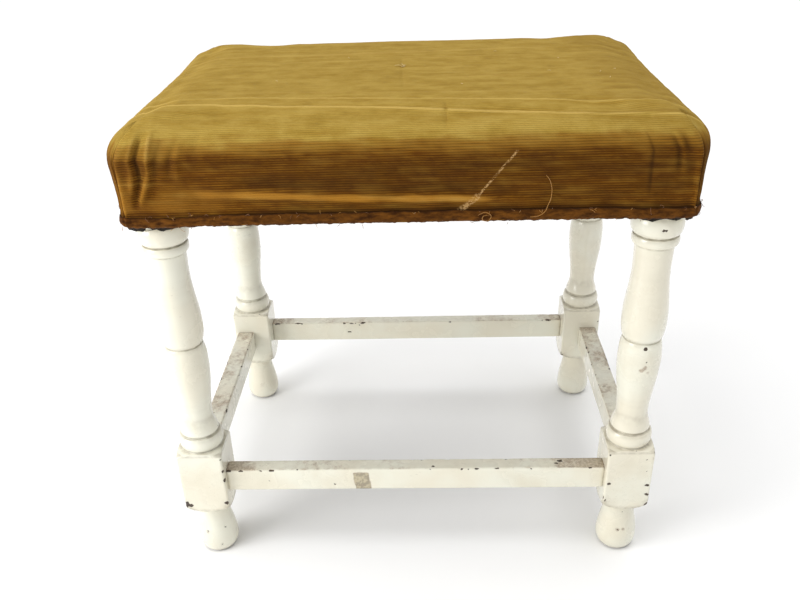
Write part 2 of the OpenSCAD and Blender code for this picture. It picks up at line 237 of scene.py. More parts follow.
def srgb(r, g, b):
    """A colour given from 0 to 255 as screens show it."""
    def line(c):
        c = c / 255
        return c / 12.92 if c <= 0.04045 else ((c + 0.055) / 1.055) ** 2.4
    return (line(r), line(g), line(b), 1.0)


# ---- materials ----


def cream_paint():
    """Old gloss paint: brush marks, yellowing, dirt in the grooves, rubbed tops and chips to dark wood."""
    m = Nodes("cream_paint", Coat_Weight=0.5, Coat_Roughness=0.1, IOR=1.5)
    chip, grime, wear = m.value("chip"), m.value("grime"), m.value("wear")
    speckle = m.noise(420, 3, rough=0.65)
    blotch = m.noise(26, 4, rough=0.55)
    tint = m.noise(17, 2)
    streak = m.noise(130, 5, rough=0.68)
    broken = m.step(m.plus(chip, m.times(m.minus(speckle, 0.5), 0.9)), 0.5, 0.55)
    rubbed = m.step(m.plus(wear, m.times(m.minus(streak, 0.5), 1.3)), 0.5, 0.9)
    base = m.mix(m.step(tint, 0.35, 0.65), srgb(231, 229, 212), srgb(228, 222, 202))
    base = m.mix(m.step(blotch, 0.42, 0.75, 0, 0.6), base, srgb(217, 210, 188))
    dirt = m.times(grime, m.step(m.noise(150, 4), 0.3, 0.7, 0.2, 0.75))
    base = m.mix(dirt, base, srgb(142, 130, 106))
    base = m.mix(m.step(grime, 0.82, 1.0, 0.0, 0.8), base, srgb(88, 78, 60))
    fine_dirt = m.times(m.step(m.noise(1100, 3, rough=0.75), 0.62, 0.72), m.step(blotch, 0.4, 0.62))
    base = m.mix(m.times(fine_dirt, 0.45), base, srgb(120, 108, 84))
    scratch = m.times(m.step(m.noise(95, 3, stretch=(1, 1, 9), rough=0.7), 0.68, 0.73),
                     m.step(m.noise(40, 2), 0.52, 0.62))
    base = m.mix(m.times(scratch, 0.55), base, srgb(116, 104, 84))
    bared = m.mix(m.step(m.noise(500, 4, rough=0.75), 0.4, 0.62), srgb(138, 116, 96), srgb(196, 180, 156))
    scraped = m.mix(m.step(m.noise(240, 4, rough=0.7), 0.44, 0.6), srgb(106, 92, 62), srgb(176, 162, 126))
    bared = m.mix(m.step(wear, 0.8, 1.3, 0.0, 0.85), bared, scraped)
    base = m.mix(m.times(rubbed, 0.75), base, bared)
    wood = m.mix(m.noise(90, 3, stretch=(1, 1, 0.2)), srgb(36, 28, 22), srgb(84, 66, 46))
    m.set("Base Color", m.mix(broken, base, wood))
    gloss = m.step(blotch, 0.3, 0.7, 0.2, 0.32)
    m.set("Roughness", m.most(gloss, m.times(m.most(broken, rubbed), 0.8)))
    brush = m.noise(300, 3, stretch=(1, 1, 0.12))
    relief = m.bump(brush, 0.00012, 0.5, m.bump(m.noise(70, 3), 0.0006, 0.6))
    m.set("Normal", m.bump(m.minus(1.0, broken), 0.0004, 0.9, relief))
    return m.material


def bare_wood():
    m = Nodes("bare_wood", 0.65)
    rings = m.add("ShaderNodeTexWave", {"Vector": m.place((6, 40, 40)), "Scale": 1.0, "Distortion": 5.0,
                                        "Detail": 3.0, "Detail Scale": 1.2}).outputs["Fac"]
    pores = m.noise(900, 2, stretch=(0.05, 1, 1))
    base = m.mix(rings, srgb(176, 134, 84), srgb(142, 100, 58))
    m.set("Base Color", m.mix(m.step(pores, 0.6, 0.75, 0, 0.5), base, srgb(92, 62, 36)))
    m.set("Normal", m.bump(pores, 0.0002, 0.6))
    return m.material


def plywood():
    m = Nodes("plywood", 0.6)
    plies = m.add("ShaderNodeTexWave", {"Vector": m.place((0, 0, 1)), "Scale": 110.0},
                  bands_direction="Z").outputs["Fac"]
    grain = m.noise(60, 4, stretch=(0.15, 1, 1))
    base = m.mix(grain, srgb(205, 172, 122), srgb(178, 140, 92))
    m.set("Base Color", m.mix(m.step(plies, 0.45, 0.55, 0, 0.35), base, srgb(120, 84, 50)))
    m.set("Normal", m.bump(grain, 0.0002, 0.5))
    return m.material


def steel(name, rust):
    m = Nodes(name, 0.42, Metallic=0.85)
    spots = m.step(m.plus(m.noise(700, 4, rough=0.7), rust), 0.55, 0.75)
    m.set("Base Color", m.mix(spots, srgb(150, 150, 148), srgb(96, 58, 34)))
    m.set("Metallic", m.minus(0.9, m.times(spots, 0.7)))
    m.set("Roughness", m.step(spots, 0, 1, 0.35, 0.8))
    m.set("Normal", m.bump(m.noise(1500, 2), 0.0001, 0.5))
    return m.material


RIB_PITCH = 2.1 * MM


def rub_mask(m, along, across):
    """A pale scrape that runs slantwise down the front, as a share from 0 to 1."""
    total = 0.0
    front = -(COVER_HIGH[1] - 26 * MM)
    for (x0, d0), (x1, d1), width in SCRAPE:
        p0, p1 = Vector((x0 * MM, front - d0 * MM)), Vector((x1 * MM, front - d1 * MM))
        run = (p1 - p0).normalized()
        dx, dy = m.minus(along, p0.x), m.minus(across, p0.y)
        forward = m.plus(m.times(dx, run.x), m.times(dy, run.y))
        aside = m.math("ABSOLUTE", m.minus(m.times(dx, run.y),
                                          m.times(dy, run.x)))
        inside = m.times(m.step(forward, -0.002, 0.001),
                        m.step(forward, (p1 - p0).length + 0.002, (p1 - p0).length - 0.001))
        here = m.times(inside, m.step(aside, width * MM, width * 0.3 * MM))
        total = m.most(total, here)
    return total


# the scrape's stretches: each end's place across the front and distance below the top, and its width, in mm
SCRAPE = [((87, 38), (57, 76), 1.3), ((57, 76), (40, 92), 3.4)]


def cord_cloth():
    """Gold needlecord: ribs, pile sheen, painted highlights on the worn rib crests, painted shade in the rib
    valleys, painted light and shade on the folds, ridges and seams, and a lighter top over darker brown
    sides, which is painted shade along with some fading on top.
    """
    m = Nodes("cord_cloth", 0.9, Specular_IOR_Level=0.08, Sheen_Weight=0.12, Sheen_Roughness=0.45,
              Sheen_Tint=srgb(235, 190, 90))
    along, across = m.value("along"), m.value("across")
    fade, relief = m.value("fade"), m.value("relief")
    cloth = m.combine(along, across, 0.0)

    def woven(scale, stretch, detail=3.0, rough=0.5):
        place = m.add("ShaderNodeMapping", {"Vector": cloth, "Scale": stretch}).outputs["Vector"]
        return m.noise(scale, detail, rough=rough, where=place)

    wobble = m.times(m.minus(woven(30, (1, 1, 1)), 0.5), 0.0012)
    rib = m.math("DIVIDE", m.plus(across, wobble), RIB_PITCH)
    crest = m.math("ABSOLUTE", m.math("SINE", m.times(rib, math.pi)))
    round_crest = m.math("POWER", crest, 0.6)
    rib_streak = woven(60, (0.12, 8, 1), 2)
    broad_streak = woven(20, (0.4, 4, 1), 5, 0.65)
    patch = woven(34, (1, 1.5, 1), 6, 0.68)
    pile = m.noise(2600, 2, rough=0.7)

    top = m.mix(m.step(broad_streak, 0.3, 0.7), srgb(160, 130, 50), srgb(178, 149, 68))
    top = m.mix(m.step(patch, 0.4, 0.66, 0, 0.6), top, srgb(192, 164, 84))
    top = m.mix(m.step(patch, 0.46, 0.3, 0, 0.45), top, srgb(140, 114, 42))
    # the sides' dark browns against the top's golds are painted shade by the cloth's tilt, along with some
    # fading on top; fade picks between them
    side = m.mix(m.step(broad_streak, 0.3, 0.75), srgb(70, 36, 2), srgb(98, 55, 5))
    side = m.mix(m.step(patch, 0.4, 0.8, 0, 0.6), side, srgb(104, 64, 6))
    base = m.mix(fade, side, top)
    # an orange-brown band where the cloth turns from top to side: part of the same painted shading
    turning = m.times(fade, m.minus(1.0, fade))
    base = m.mix(m.times(turning, 1.6), base, srgb(142, 92, 20))
    thin_crest = m.math("POWER", crest, 1.8)
    # painted highlight on the rib crests, partly real wear, stronger on the sides
    crest_highlight_and_wear = m.times(m.times(thin_crest, m.step(rib_streak, 0.3, 0.7, 0.3, 1)),
                         m.step(fade, 0.2, 1.0, 0.62, 0.3))
    crest_highlight_and_wear = m.times(crest_highlight_and_wear, m.step(woven(170, (0.5, 1, 1), 4, 0.65), 0.36, 0.62, 0.25, 1.0))
    base = m.mix(crest_highlight_and_wear, base, srgb(150, 102, 26))
    # painted shade in the rib valleys, stronger on the sides
    valley = m.times(m.step(crest, 0.6, 0.1), m.step(fade, 0.2, 1.0, 0.45, 0.26))
    base = m.mix(valley, base, srgb(56, 30, 5))
    # painted highlight where relief is high and painted shade where it is low, following the folds, ridges
    # and seams
    relief_highlight, relief_shade = m.step(relief, 0.0, 1.0, 0.0, 0.85), m.step(relief, 0.0, -1.0, 0.0, 0.85)
    base = m.mix(relief_highlight, base, m.mix(fade, srgb(170, 118, 40), srgb(206, 174, 96)))
    base = m.mix(relief_shade, base, m.mix(fade, srgb(46, 24, 6), srgb(112, 78, 22)))
    worn = m.times(rub_mask(m, along, across), m.step(m.noise(700, 3, rough=0.75), 0.42, 0.6))
    base = m.mix(m.times(worn, 0.8), base, srgb(206, 166, 110))
    base = m.mix(m.step(pile, 0.35, 0.7, 0.0, 0.16), base, srgb(60, 36, 10))
    m.set("Base Color", base)
    m.set("Roughness", m.step(patch, 0.3, 0.7, 0.8, 0.95))
    fuzz = m.bump(pile, 0.00018, 0.55)
    m.set("Normal", m.bump(round_crest, 0.00055, 0.75, fuzz))
    return m.material


def hem_cloth():
    """Raw brown edging, crumpled and dirty, with a painted shadow line along its top edge."""
    m = Nodes("hem_cloth", 0.92, Specular_IOR_Level=0.05, Sheen_Weight=0.04, Sheen_Roughness=0.5)
    worn = m.value("wear")
    grain = m.noise(240, 4, stretch=(0.35, 0.35, 1), rough=0.65)
    patch = m.noise(45, 4, rough=0.6)
    base = m.mix(m.step(grain, 0.3, 0.7), srgb(52, 27, 6), srgb(108, 66, 20))
    base = m.mix(m.step(patch, 0.4, 0.75, 0, 0.7), base, srgb(88, 52, 14))
    # darker where wear is high: dirt, and the painted shadow line along the top edge
    base = m.mix(m.times(worn, 0.8), base, srgb(40, 20, 8))
    m.set("Base Color", base)
    weave = m.noise(1500, 2)
    m.set("Normal", m.bump(grain, 0.0006, 0.8, m.bump(weave, 0.0003, 0.6)))
    return m.material


def thread_yarn(name, light, dark):
    m = Nodes(name, 0.85, Specular_IOR_Level=0.2, Sheen_Weight=0.3)
    m.set("Base Color", m.mix(m.noise(300, 2), dark, light))
    m.set("Normal", m.bump(m.noise(5000, 1), 0.0001, 0.5))
    return m.material


def black_lining():
    """Thin black dust cloth, faded and dusty."""
    m = Nodes("black_lining", 0.9, Specular_IOR_Level=0.15)
    weave_x = m.add("ShaderNodeTexWave", {"Vector": m.place((1, 0, 0)), "Scale": 420.0},
                    bands_direction="X").outputs["Fac"]
    weave_y = m.add("ShaderNodeTexWave", {"Vector": m.place((0, 1, 0)), "Scale": 420.0},
                    bands_direction="Y").outputs["Fac"]
    weave = m.most(weave_x, weave_y)
    dust = m.step(m.noise(28, 5, rough=0.65), 0.45, 0.8, 0, 0.55)
    base = m.mix(weave, srgb(22, 20, 18), srgb(48, 44, 40))
    m.set("Base Color", m.mix(dust, base, srgb(112, 100, 84)))
    m.set("Normal", m.bump(weave, 0.0002, 0.5))
    return m.material


def wadding_fluff(name, light, dark):
    m = Nodes(name, 0.95, Specular_IOR_Level=0.1, Sheen_Weight=0.4)
    m.set("Base Color", m.mix(m.noise(120, 4), light, dark))
    m.set("Normal", m.bump(m.noise(900, 4, rough=0.7), 0.0006, 0.8))
    return m.material


MATERIALS = {
    "cream_paint": cream_paint(), "bare_wood": bare_wood(), "plywood": plywood(),
    "steel": steel("steel", 0.0), "tack_steel": steel("tack_steel", 0.1), "cord_cloth": cord_cloth(),
    "hem_cloth": hem_cloth(), "black_lining": black_lining(),
    "wadding": wadding_fluff("wadding", srgb(232, 228, 214), srgb(206, 198, 176)),
}
GOLD_YARN = thread_yarn("gold_yarn", srgb(186, 136, 60), srgb(136, 88, 30))
PALE_YARN = thread_yarn("pale_yarn", srgb(226, 204, 146), srgb(196, 166, 98))
BROWN_YARN = thread_yarn("brown_yarn", srgb(132, 84, 40), srgb(70, 38, 16))


def finish_piece(obj, slot, *nodes):
    """Rides obj on the one body and hides the nodes that it stands for; slot is not used."""
    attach(obj, "root")
    if nodes:
        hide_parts(*nodes)
    return obj


# ---- turned legs ----


def leg_profile(node):
    """(height, radius) pairs of the leg's turning, measured on the CAD node along its outward diagonal."""
    low, high = node_box(node)
    middle = (low + high) / 2
    out = np.array([math.copysign(1, middle[0]), math.copysign(1, middle[1]), 0]) / math.sqrt(2)
    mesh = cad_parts[node].data
    tree = BVHTree.FromPolygons([v.co for v in mesh.vertices], [p.vertices for p in mesh.polygons])
    reach, step = 0.06, 0.25 * MM
    heights = np.arange(low[2] + 0.05 * MM, high[2], step)
    radii = []
    for z in heights:
        start = Vector((middle[0], middle[1], z)) + Vector(out) * reach
        hit = tree.ray_cast(start, Vector(-out))[0]
        radii.append((hit - Vector((middle[0], middle[1], z))).length)
    return heights, np.array(radii)


def leg_rows(heights, radii, spacing):
    """The heights to keep: evenly spaced ones, and those where the profile bends."""
    bend = np.abs(np.gradient(np.gradient(radii)))
    every = max(1, round(spacing / (heights[1] - heights[0])))
    keep = [i for i in range(len(heights)) if i % every == 0 or bend[i] > 0.05 * MM]
    if keep[-1] != len(heights) - 1:
        keep.append(len(heights) - 1)
    return np.array(keep)


def eased_rectangle(half_x, half_y, edge, spacing):
    """Points anticlockwise round a rectangle with eased corners."""
    points = []
    for turn in range(4):
        face, flat = (half_x, half_y - edge) if turn % 2 == 0 else (half_y, half_x - edge)
        count = max(2, round(2 * flat / spacing))
        side = [(face, flat * (2 * i / count - 1)) for i in range(count)]
        corner = [(face - edge + edge * math.cos(a), flat + edge * math.sin(a))
                  for a in (math.radians(d) for d in (0, 18, 36, 54, 72))]
        c, s = math.cos(turn * math.pi / 2), math.sin(turn * math.pi / 2)
        points += [(c * x - s * y, s * x + c * y) for x, y in side + corner]
    return np.array(points)


def soft_min(a, b, width):
    """The lesser of a and b, blended where they are within width of each other."""
    h = np.clip(0.5 + 0.5 * (b - a) / width, 0, 1)
    return b * (1 - h) + a * h - width * h * (1 - h)


BLOCK_LOW, BLOCK_HIGH = 72 * MM, 137 * MM  # where the lower block's square corners end
# marks on the legs: turn in degrees, height, reach in mm, then how chipped and how worn
LEG_MARKS = {
    "leg_front_left": [(-134, 75, 3.4, 1.3, 0), (-126, 73, 2.6, 1.0, 0), (-47, 76, 2.4, 1.1, 0),
                       (-44, 118, 1.9, 1.2, 0), (-43, 106, 2.4, 1.3, 0.6), (-95, 226, 6, 0, 0.5),
                       (-70, 14, 6, 0.5, 0.6), (-110, 30, 6, 0.48, 0.6), (-50, 34, 5, 0.5, 0.5)],
    "leg_front_right": [(-91, 257, 1.7, 1.6, 0), (-95, 234, 3.8, 0.46, 0.9), (-86, 237, 3.6, 0.44, 0.9),
                        (-76, 231, 3.6, 0.42, 0.8), (-20, 228, 2.8, 1.3, 0.9), (-22, 224, 2.2, 1.2, 0.9),
                        (-110, 215, 4, 0.2, 0.6), (-91, 378, 2.0, 0.9, 0.7), (-86, 378, 1.6, 1.0, 0.7),
                        (-48, 84, 4.0, 0.6, 0.8), (-50, 96, 2.4, 0.9, 0.5), (-130, 98, 2.0, 0.9, 0.3),
                        (-100, 30, 4, 0.48, 0.9), (-80, 31, 4, 0.5, 0.9), (-62, 30, 3.4, 0.48, 0.8)],
    "leg_back_left": [(-60, 330, 12, 0.1, 0.7), (-90, 300, 8, 0.2, 0.6), (-80, 24, 7, 0.3, 0.6)],
    "leg_back_right": [(-100, 350, 7, 0.1, 0.6), (-80, 345, 3, 0.5, 0.7)],
}


def painted(node, points, faces, chip, grime, wear):
    obj = new_object("painted_" + node, points, faces, MATERIALS["cream_paint"],
                     {"chip": chip, "grime": grime, "wear": wear})
    return finish_piece(obj, "cream_paint", node)


def leg_wear(spots, proud, squareness, groove, slope, seed):
    """How chipped, dirty and worn each point of a leg is.

    proud is how far the turning would stand past the square stock, and squareness is 1 on its corners."""
    z = spots[:, 2]
    # how sharply the surface turns: the block's upright edges, and the arrises where turning meets square
    corner = smooth(squareness, 0.93, 0.985) * smooth(proud, -0.5 * MM, 1.0 * MM)
    arris = bump(proud, 0, 1.1 * MM)
    foot_edge = bump(z, 3 * MM, 5 * MM)
    chippy = np.clip(corner + 0.8 * arris + 0.9 * foot_edge, 0, 1)
    block_end = corner * (bump(z, BLOCK_LOW, 7 * MM) + 0.5 * bump(z, BLOCK_HIGH, 5 * MM))
    flake = rough_noise(spots, 6, seed, 3) + 0.2 * rough_noise(spots, 40, seed + 9, 2)
    chip = smooth(flake + 0.24 * chippy + 0.45 * block_end, 0.56, 0.64)
    grime = np.clip(groove / (0.5 * MM), 0, 1) * 0.6 + 0.7 * bump(z, 0, 3.5 * MM)
    grime = np.clip(grime + 0.2 * smooth(slope, 2.5, 5), 0, 1)
    # darker in a band just under the lower block, added to the grime values
    under_block = bump(proud, 0, 3.5 * MM) * bump(z, BLOCK_LOW - 4 * MM, 9 * MM)
    shoulder = bump(proud, 0, 2.5 * MM) * bump(z, BLOCK_HIGH, 12 * MM)
    wear = 0.1 + 0.16 * corner + 0.25 * bump(z, 28 * MM, 22 * MM) + 0.3 * shoulder
    return chip, np.maximum(grime, 0.9 * under_block), wear


def make_leg(node, seed):
    """A turned leg with two square blocks, on the CAD leg's own profile."""
    low, high = node_box(node)
    middle, half = (low + high) / 2, (high[0] - low[0]) / 2
    heights, radii = leg_profile(node)
    rows = leg_rows(heights, radii, 1.6 * MM)
    z_row, r_row = heights[rows], radii[rows]
    z_row[0], z_row[-1] = low[2], high[2]
    outline = eased_rectangle(half, half, 1.8 * MM, 1.5 * MM)
    count = len(outline)
    r_square = np.linalg.norm(outline, axis=1)
    dirs = np.tile(outline / r_square[:, None], (len(rows), 1))
    z, square = np.repeat(z_row, count), np.tile(r_square, len(rows))
    proud = np.repeat(r_row, count) - square
    radius = soft_min(proud + square, square, 0.8 * MM)

    def surface():
        return np.column_stack([middle[0] + dirs[:, 0] * radius, middle[1] + dirs[:, 1] * radius, z])

    spots = surface()
    slope = np.abs(np.gradient(r_row) / np.maximum(np.gradient(z_row), 1e-5))
    groove = np.convolve(np.maximum(0, np.gradient(np.gradient(r_row))), np.ones(3), "same")
    chip, grime, wear = leg_wear(spots, proud, square / r_square.max(), np.repeat(groove, count),
                                 np.repeat(slope, count), seed)
    for turn, height, reach, chipped, worn in LEG_MARKS[node]:
        towards = np.array([math.cos(math.radians(turn)), math.sin(math.radians(turn))])
        aside = (dirs[:, 0] * towards[1] - dirs[:, 1] * towards[0]) * radius
        mark = np.exp(-(aside ** 2 + (z - height * MM) ** 2) / (reach * MM) ** 2) * (dirs @ towards > 0)
        chip, wear = np.maximum(chip, chipped * mark), np.maximum(wear, worn * mark)

    uneven = 0.22 * noise_at(spots, 45, seed + 3) + 0.1 * noise_at(spots, 12, seed + 4)
    radius = radius + (uneven - 0.45 * chip) * MM
    points = surface()
    points[:, 2] += 0.15 * MM * noise_at(spots, 30, seed + 5) * smooth(z, 0.002, 0.01)
    faces = ring_faces(len(rows), count)
    for number, (row, height) in enumerate(((0, low[2]), (len(rows) - 1, high[2]))):
        # a fan closes each end
        points = np.vstack([points, [middle[0], middle[1], height]])
        ring = [row * count + c for c in range(count)]
        for a, b in zip(ring, ring[1:] + ring[:1]):
            faces.append((len(points) - 1, a, b) if number else (len(points) - 1, b, a))
    return painted(node, points, faces, *(np.append(v, [0.0, 0.0]) for v in (chip, grime, wear)))


# ---- stretchers ----


def bar_length(shoulder):
    """Places along a stretcher from tenon to tenon, closer together where it meets the blocks."""
    reach = shoulder + 2.5 * MM
    at_blocks = [s * (shoulder + d * MM) for s in (-1, 1) for d in (-1.2, -0.6, -0.2, 0.2, 0.6)]
    return np.union1d(np.arange(-reach, reach, 1.8 * MM), at_blocks)


def front_marks(run, t, h, half_t, half_h, on_top, chip, wear):
    """The front stretcher's bare patch, worn right end and the chips on its top."""
    outer = smooth(t, -half_t + 1.5 * MM, -half_t + 0.4 * MM)
    slant = run + (h + half_h) * 0.12
    wear = wear + 0.3 * on_top * smooth(run, 140 * MM, 160 * MM)
    band = smooth(slant, -62 * MM, -60.5 * MM) * smooth(slant, -44 * MM, -45.5 * MM)
    wear = np.maximum(wear, 1.5 * band * outer * smooth(h, half_h - 3 * MM, half_h - 5 * MM))
    for along, across, reach in ((152, 3, 2.2), (148, -1, 1.5), (20, -4, 1.4)):
        spot = np.hypot((run - along * MM) / 1.8, t - across * MM) / (reach * MM)
        chip = np.maximum(chip, 1.1 * np.exp(-spot ** 2) * on_top)
    return chip, wear


def make_stretcher(node, seed):
    """A square bar between two leg blocks, worn on top and chipped along its edges."""
    low, high = node_box(node)
    axis = 0 if high[0] - low[0] > high[1] - low[1] else 1
    other = 1 - axis
    shoulder = LEG_INNER[axis]
    middle = (low + high) / 2
    half_t, half_h = (high[other] - low[other]) / 2, (high[2] - low[2]) / 2
    length = bar_length(shoulder)
    outline = eased_rectangle(half_t, half_h, 2.2 * MM, 1.8 * MM)
    count = len(outline)
    run = np.repeat(length, count)
    t, h = np.tile(outline, (len(length), 1)).T
    spots = np.zeros((len(run), 3))
    spots[:, axis], spots[:, other], spots[:, 2] = run, middle[other] + t, middle[2] + h
    near_edge = smooth(np.maximum(half_t - np.abs(t), half_h - np.abs(h)), 3.2 * MM, 0.8 * MM)
    on_top = smooth(h, half_h - 1.2 * MM, half_h - 0.3 * MM)
    flake = rough_noise(spots, (9, 9, 6), seed, 3) + 0.25 * noise_at(spots, 50, seed + 7)
    upper_edge = near_edge * smooth(h, 0, half_h * 0.6)
    chip = smooth(flake + 0.33 * upper_edge + 0.06 * near_edge, 0.56, 0.66)
    gap = bump(np.abs(run), shoulder - 0.1 * MM, 1.1 * MM)
    trodden = 0.48 if axis == 1 else 0.4
    wear = (0.12 + 0.15 * upper_edge + on_top * (trodden + 0.25 * bump(np.abs(run), shoulder, 30 * MM)
                                                 + 0.36 * noise_at(spots, 34, seed + 11)))
    grime = np.clip(0.95 * gap + on_top * (0.16 + 0.3 * bump(np.abs(run), shoulder, 12 * MM)), 0, 1)
    if node == "stretcher_front":
        chip, wear = front_marks(run, t, h, half_t, half_h, on_top, chip, wear)
    outward = np.column_stack([t, h]) / np.hypot(t, h)[:, None]
    shift = MM * (0.2 * noise_at(spots, 50, seed + 3) + 0.1 * noise_at(spots, 14, seed + 4)
                  - 0.4 * chip - 0.6 * gap)
    points = spots.copy()
    points[:, other] += outward[:, 0] * shift
    points[:, 2] += outward[:, 1] * shift
    last = (len(length) - 1) * count
    faces = ring_faces(len(length), count) + [tuple(range(count))[::-1], tuple(range(last, last + count))]
    if axis == 1:
        faces = [tuple(reversed(f)) for f in faces]
    return painted(node, points, faces, chip, grime, wear)


# ---- shape of the seat's cover ----

ROLL = 26 * MM           # radius of the rounded top edges
WALL_CORNER = 15 * MM    # radius of the upright corners, just under the rounded edges
HEM_CORNER = 13 * MM     # and at the hem
SEAM = 0.27              # share of a corner's quarter turn at which the front's cloth folds over the side's
TOP_Z = COVER_HIGH[2] - 1.0 * MM
HALF_W, HALF_D = COVER_HIGH[0] - 0.8 * MM, COVER_HIGH[1] - 0.8 * MM
HEM_Z = COVER_LOW[2] + 0.3 * MM
PADDING_GAP = 2.0 * MM   # from the outside of the cover to the padding
FRAME_CLEARANCE = 1.6 * MM  # least distance from the outside of the cover to the wooden frame
TURN_IN = 13.5 * MM      # how far the cover's edge turns in under the rails
TACK_PITCH = 43.0        # millimetres
WALL_SHADE = 0.436       # painted shade: how much darker the walls are painted
FRONT, RIGHT, BACK, LEFT = range(4)


def graded(half, fine, coarse, zone):
    """Places from -half to half: fine steps within zone of the ends, coarse ones between."""
    n_fine, n_coarse = max(1, round(zone / fine)), max(1, round(2 * (half - zone) / coarse))
    left = np.linspace(-half, -half + zone, n_fine + 1)
    centre = np.linspace(-half + zone, half - zone, n_coarse + 1)
    return np.concatenate([left, centre[1:-1], -left[::-1]])


class Shell:
    """The soft box of the seat: a grid on top, and columns that run over its edge and down to the hem.

    Every point has an outward direction, a place on the flat cloth (along, across the ribs), its drop past
    the edge of the top, and its place u round the seat."""

    def __init__(self, fine, coarse_x, coarse_y, corner_steps, rows_roll, rows_wall, inset=0.0,
                 also=()):
        self.half = np.array([HALF_W - inset, HALF_D - inset])
        self.top = TOP_Z - inset
        self.flat = self.half - ROLL
        xs = np.union1d(graded(self.flat[0], fine, coarse_x, 70 * MM), also)
        ys = graded(self.flat[1], fine, coarse_y, 45 * MM)
        self.grid = np.arange(len(xs) * len(ys)).reshape(len(ys), len(xs))
        gx, gy = np.meshgrid(xs, ys)
        self.top_points = np.column_stack([gx.ravel(), gy.ravel(), np.full(gx.size, self.top)])
        self.first = gx.size
        self.make_columns(corner_steps)
        self.make_points(np.linspace(0, 1, rows_roll + 1)[1:], np.linspace(0, 1, rows_wall + 1)[1:])

    def make_columns(self, corner_steps):
        sides = [self.grid[0, :], self.grid[:, -1], self.grid[-1, ::-1], self.grid[::-1, 0]]
        foot, angle, side, turn, u = [], [], [], [], []
        start, quarter = 0.0, WALL_CORNER * math.pi / 2
        self.centre_u = []
        for k, feet in enumerate(sides):
            heading = math.radians((-90, 0, 90, 180)[k])
            axis = 0 if k in (FRONT, BACK) else 1
            run = np.abs(self.top_points[feet, axis] - self.top_points[feet[0], axis])
            run = run * (self.half[axis] - WALL_CORNER) / self.flat[axis]
            self.centre_u.append(start + run[-1] / 2)
            seam = SEAM if axis == 0 else 1 - SEAM
            turns = sorted(set(np.linspace(0, 1, corner_steps + 1)[1:-1]) | {seam - 0.004, seam + 0.004})
            places = [(f, 0.0, start + r) for f, r in zip(feet, run)]
            places += [(feet[-1], t, start + run[-1] + t * quarter) for t in turns]
            for f, t, place in places:
                foot.append(int(f)); turn.append(t); u.append(place)
                side.append(k); angle.append(heading + t * math.pi / 2)
            start += run[-1] + quarter
        self.round = start
        self.foot, self.turn, self.side, self.u = map(np.array, (foot, turn, side, u))
        self.normal = np.column_stack([np.cos(angle), np.sin(angle)])
        self.count = len(foot)
        on_y_side = (self.side == FRONT) | (self.side == BACK)
        # share of a quarter turn away from the front or back
        self.from_y = np.where(on_y_side, self.turn, np.where(self.turn > 0, 1 - self.turn, 1.0))
        self.y_cloth = self.from_y < SEAM

    def make_points(self, roll, depth):
        feet = self.top_points[self.foot]
        sign = np.where(feet[:, :2] < 0, -1, 1)
        quarter = ROLL * math.pi / 2
        parts = [(self.top_points, np.tile([0, 0, 1.0], (self.first, 1)), self.top_points[:, 0],
                  self.top_points[:, 1], np.zeros(self.first))]

        def add_row(back, radius, z, lean, drop):
            """A row that stands back from the outer face; lean is its upward tilt."""
            p = feet.copy()
            p[:, :2] = feet[:, :2] * (self.half - back - radius) / self.flat + self.normal * radius
            p[:, 2] = z
            out = np.column_stack([self.normal * math.sqrt(1 - lean * lean), np.full(self.count, lean)])
            along = feet[:, 0] + sign[:, 0] * np.where(self.y_cloth, self.from_y * quarter, drop)
            across = feet[:, 1] + sign[:, 1] * np.where(self.y_cloth, drop, (1 - self.from_y) * quarter)
            parts.append((p, out, along, across, np.full(self.count, drop)))

        for share in roll:
            a = share * math.pi / 2
            radius = math.sin(a) * (ROLL + (WALL_CORNER - ROLL) * share ** 2)
            back, down = ROLL * (1 - math.sin(a)), ROLL * (1 - math.cos(a))
            add_row(back, radius, self.top - down, math.cos(a), ROLL * a)
        z_wall = self.top - ROLL
        for share in depth:
            z = z_wall + (HEM_Z - z_wall) * share
            add_row(0.0, WALL_CORNER + (HEM_CORNER - WALL_CORNER) * share, z, 0.0, quarter + z_wall - z)
        self.points, self.out = np.vstack([p[0] for p in parts]), np.vstack([p[1] for p in parts])
        self.along, self.across, self.drop = (np.concatenate([p[i] for p in parts]) for i in (2, 3, 4))
        self.rows = len(roll) + len(depth)

    def round_place(self, side):
        """Signed distance of every wall point from the middle of a side, measured round the seat."""
        away = (self.u - self.centre_u[side] + self.round / 2) % self.round - self.round / 2
        return np.concatenate([np.full(self.first, 9.0), np.tile(away, self.rows)])

    def faces(self):
        g, n = self.grid, self.count
        faces = [(g[j, i], g[j, i + 1], g[j + 1, i + 1], g[j + 1, i])
                 for j in range(g.shape[0] - 1) for i in range(g.shape[1] - 1)]
        for c in range(n):
            d = (c + 1) % n
            a, b, low_c, low_d = self.foot[c], self.foot[d], self.first + c, self.first + d
            faces.append((a, low_c, low_d) if a == b else (a, low_c, low_d, b))
        for r in range(self.rows - 1):
            base, under = self.first + r * n, self.first + (r + 1) * n
            faces += [(base + c, under + c, under + (c + 1) % n, base + (c + 1) % n) for c in range(n)]
        return [tuple(int(i) for i in f) for f in faces]

    def row(self, r):
        r = r % self.rows
        return self.first + r * self.count + np.arange(self.count)


# ---- padding ----


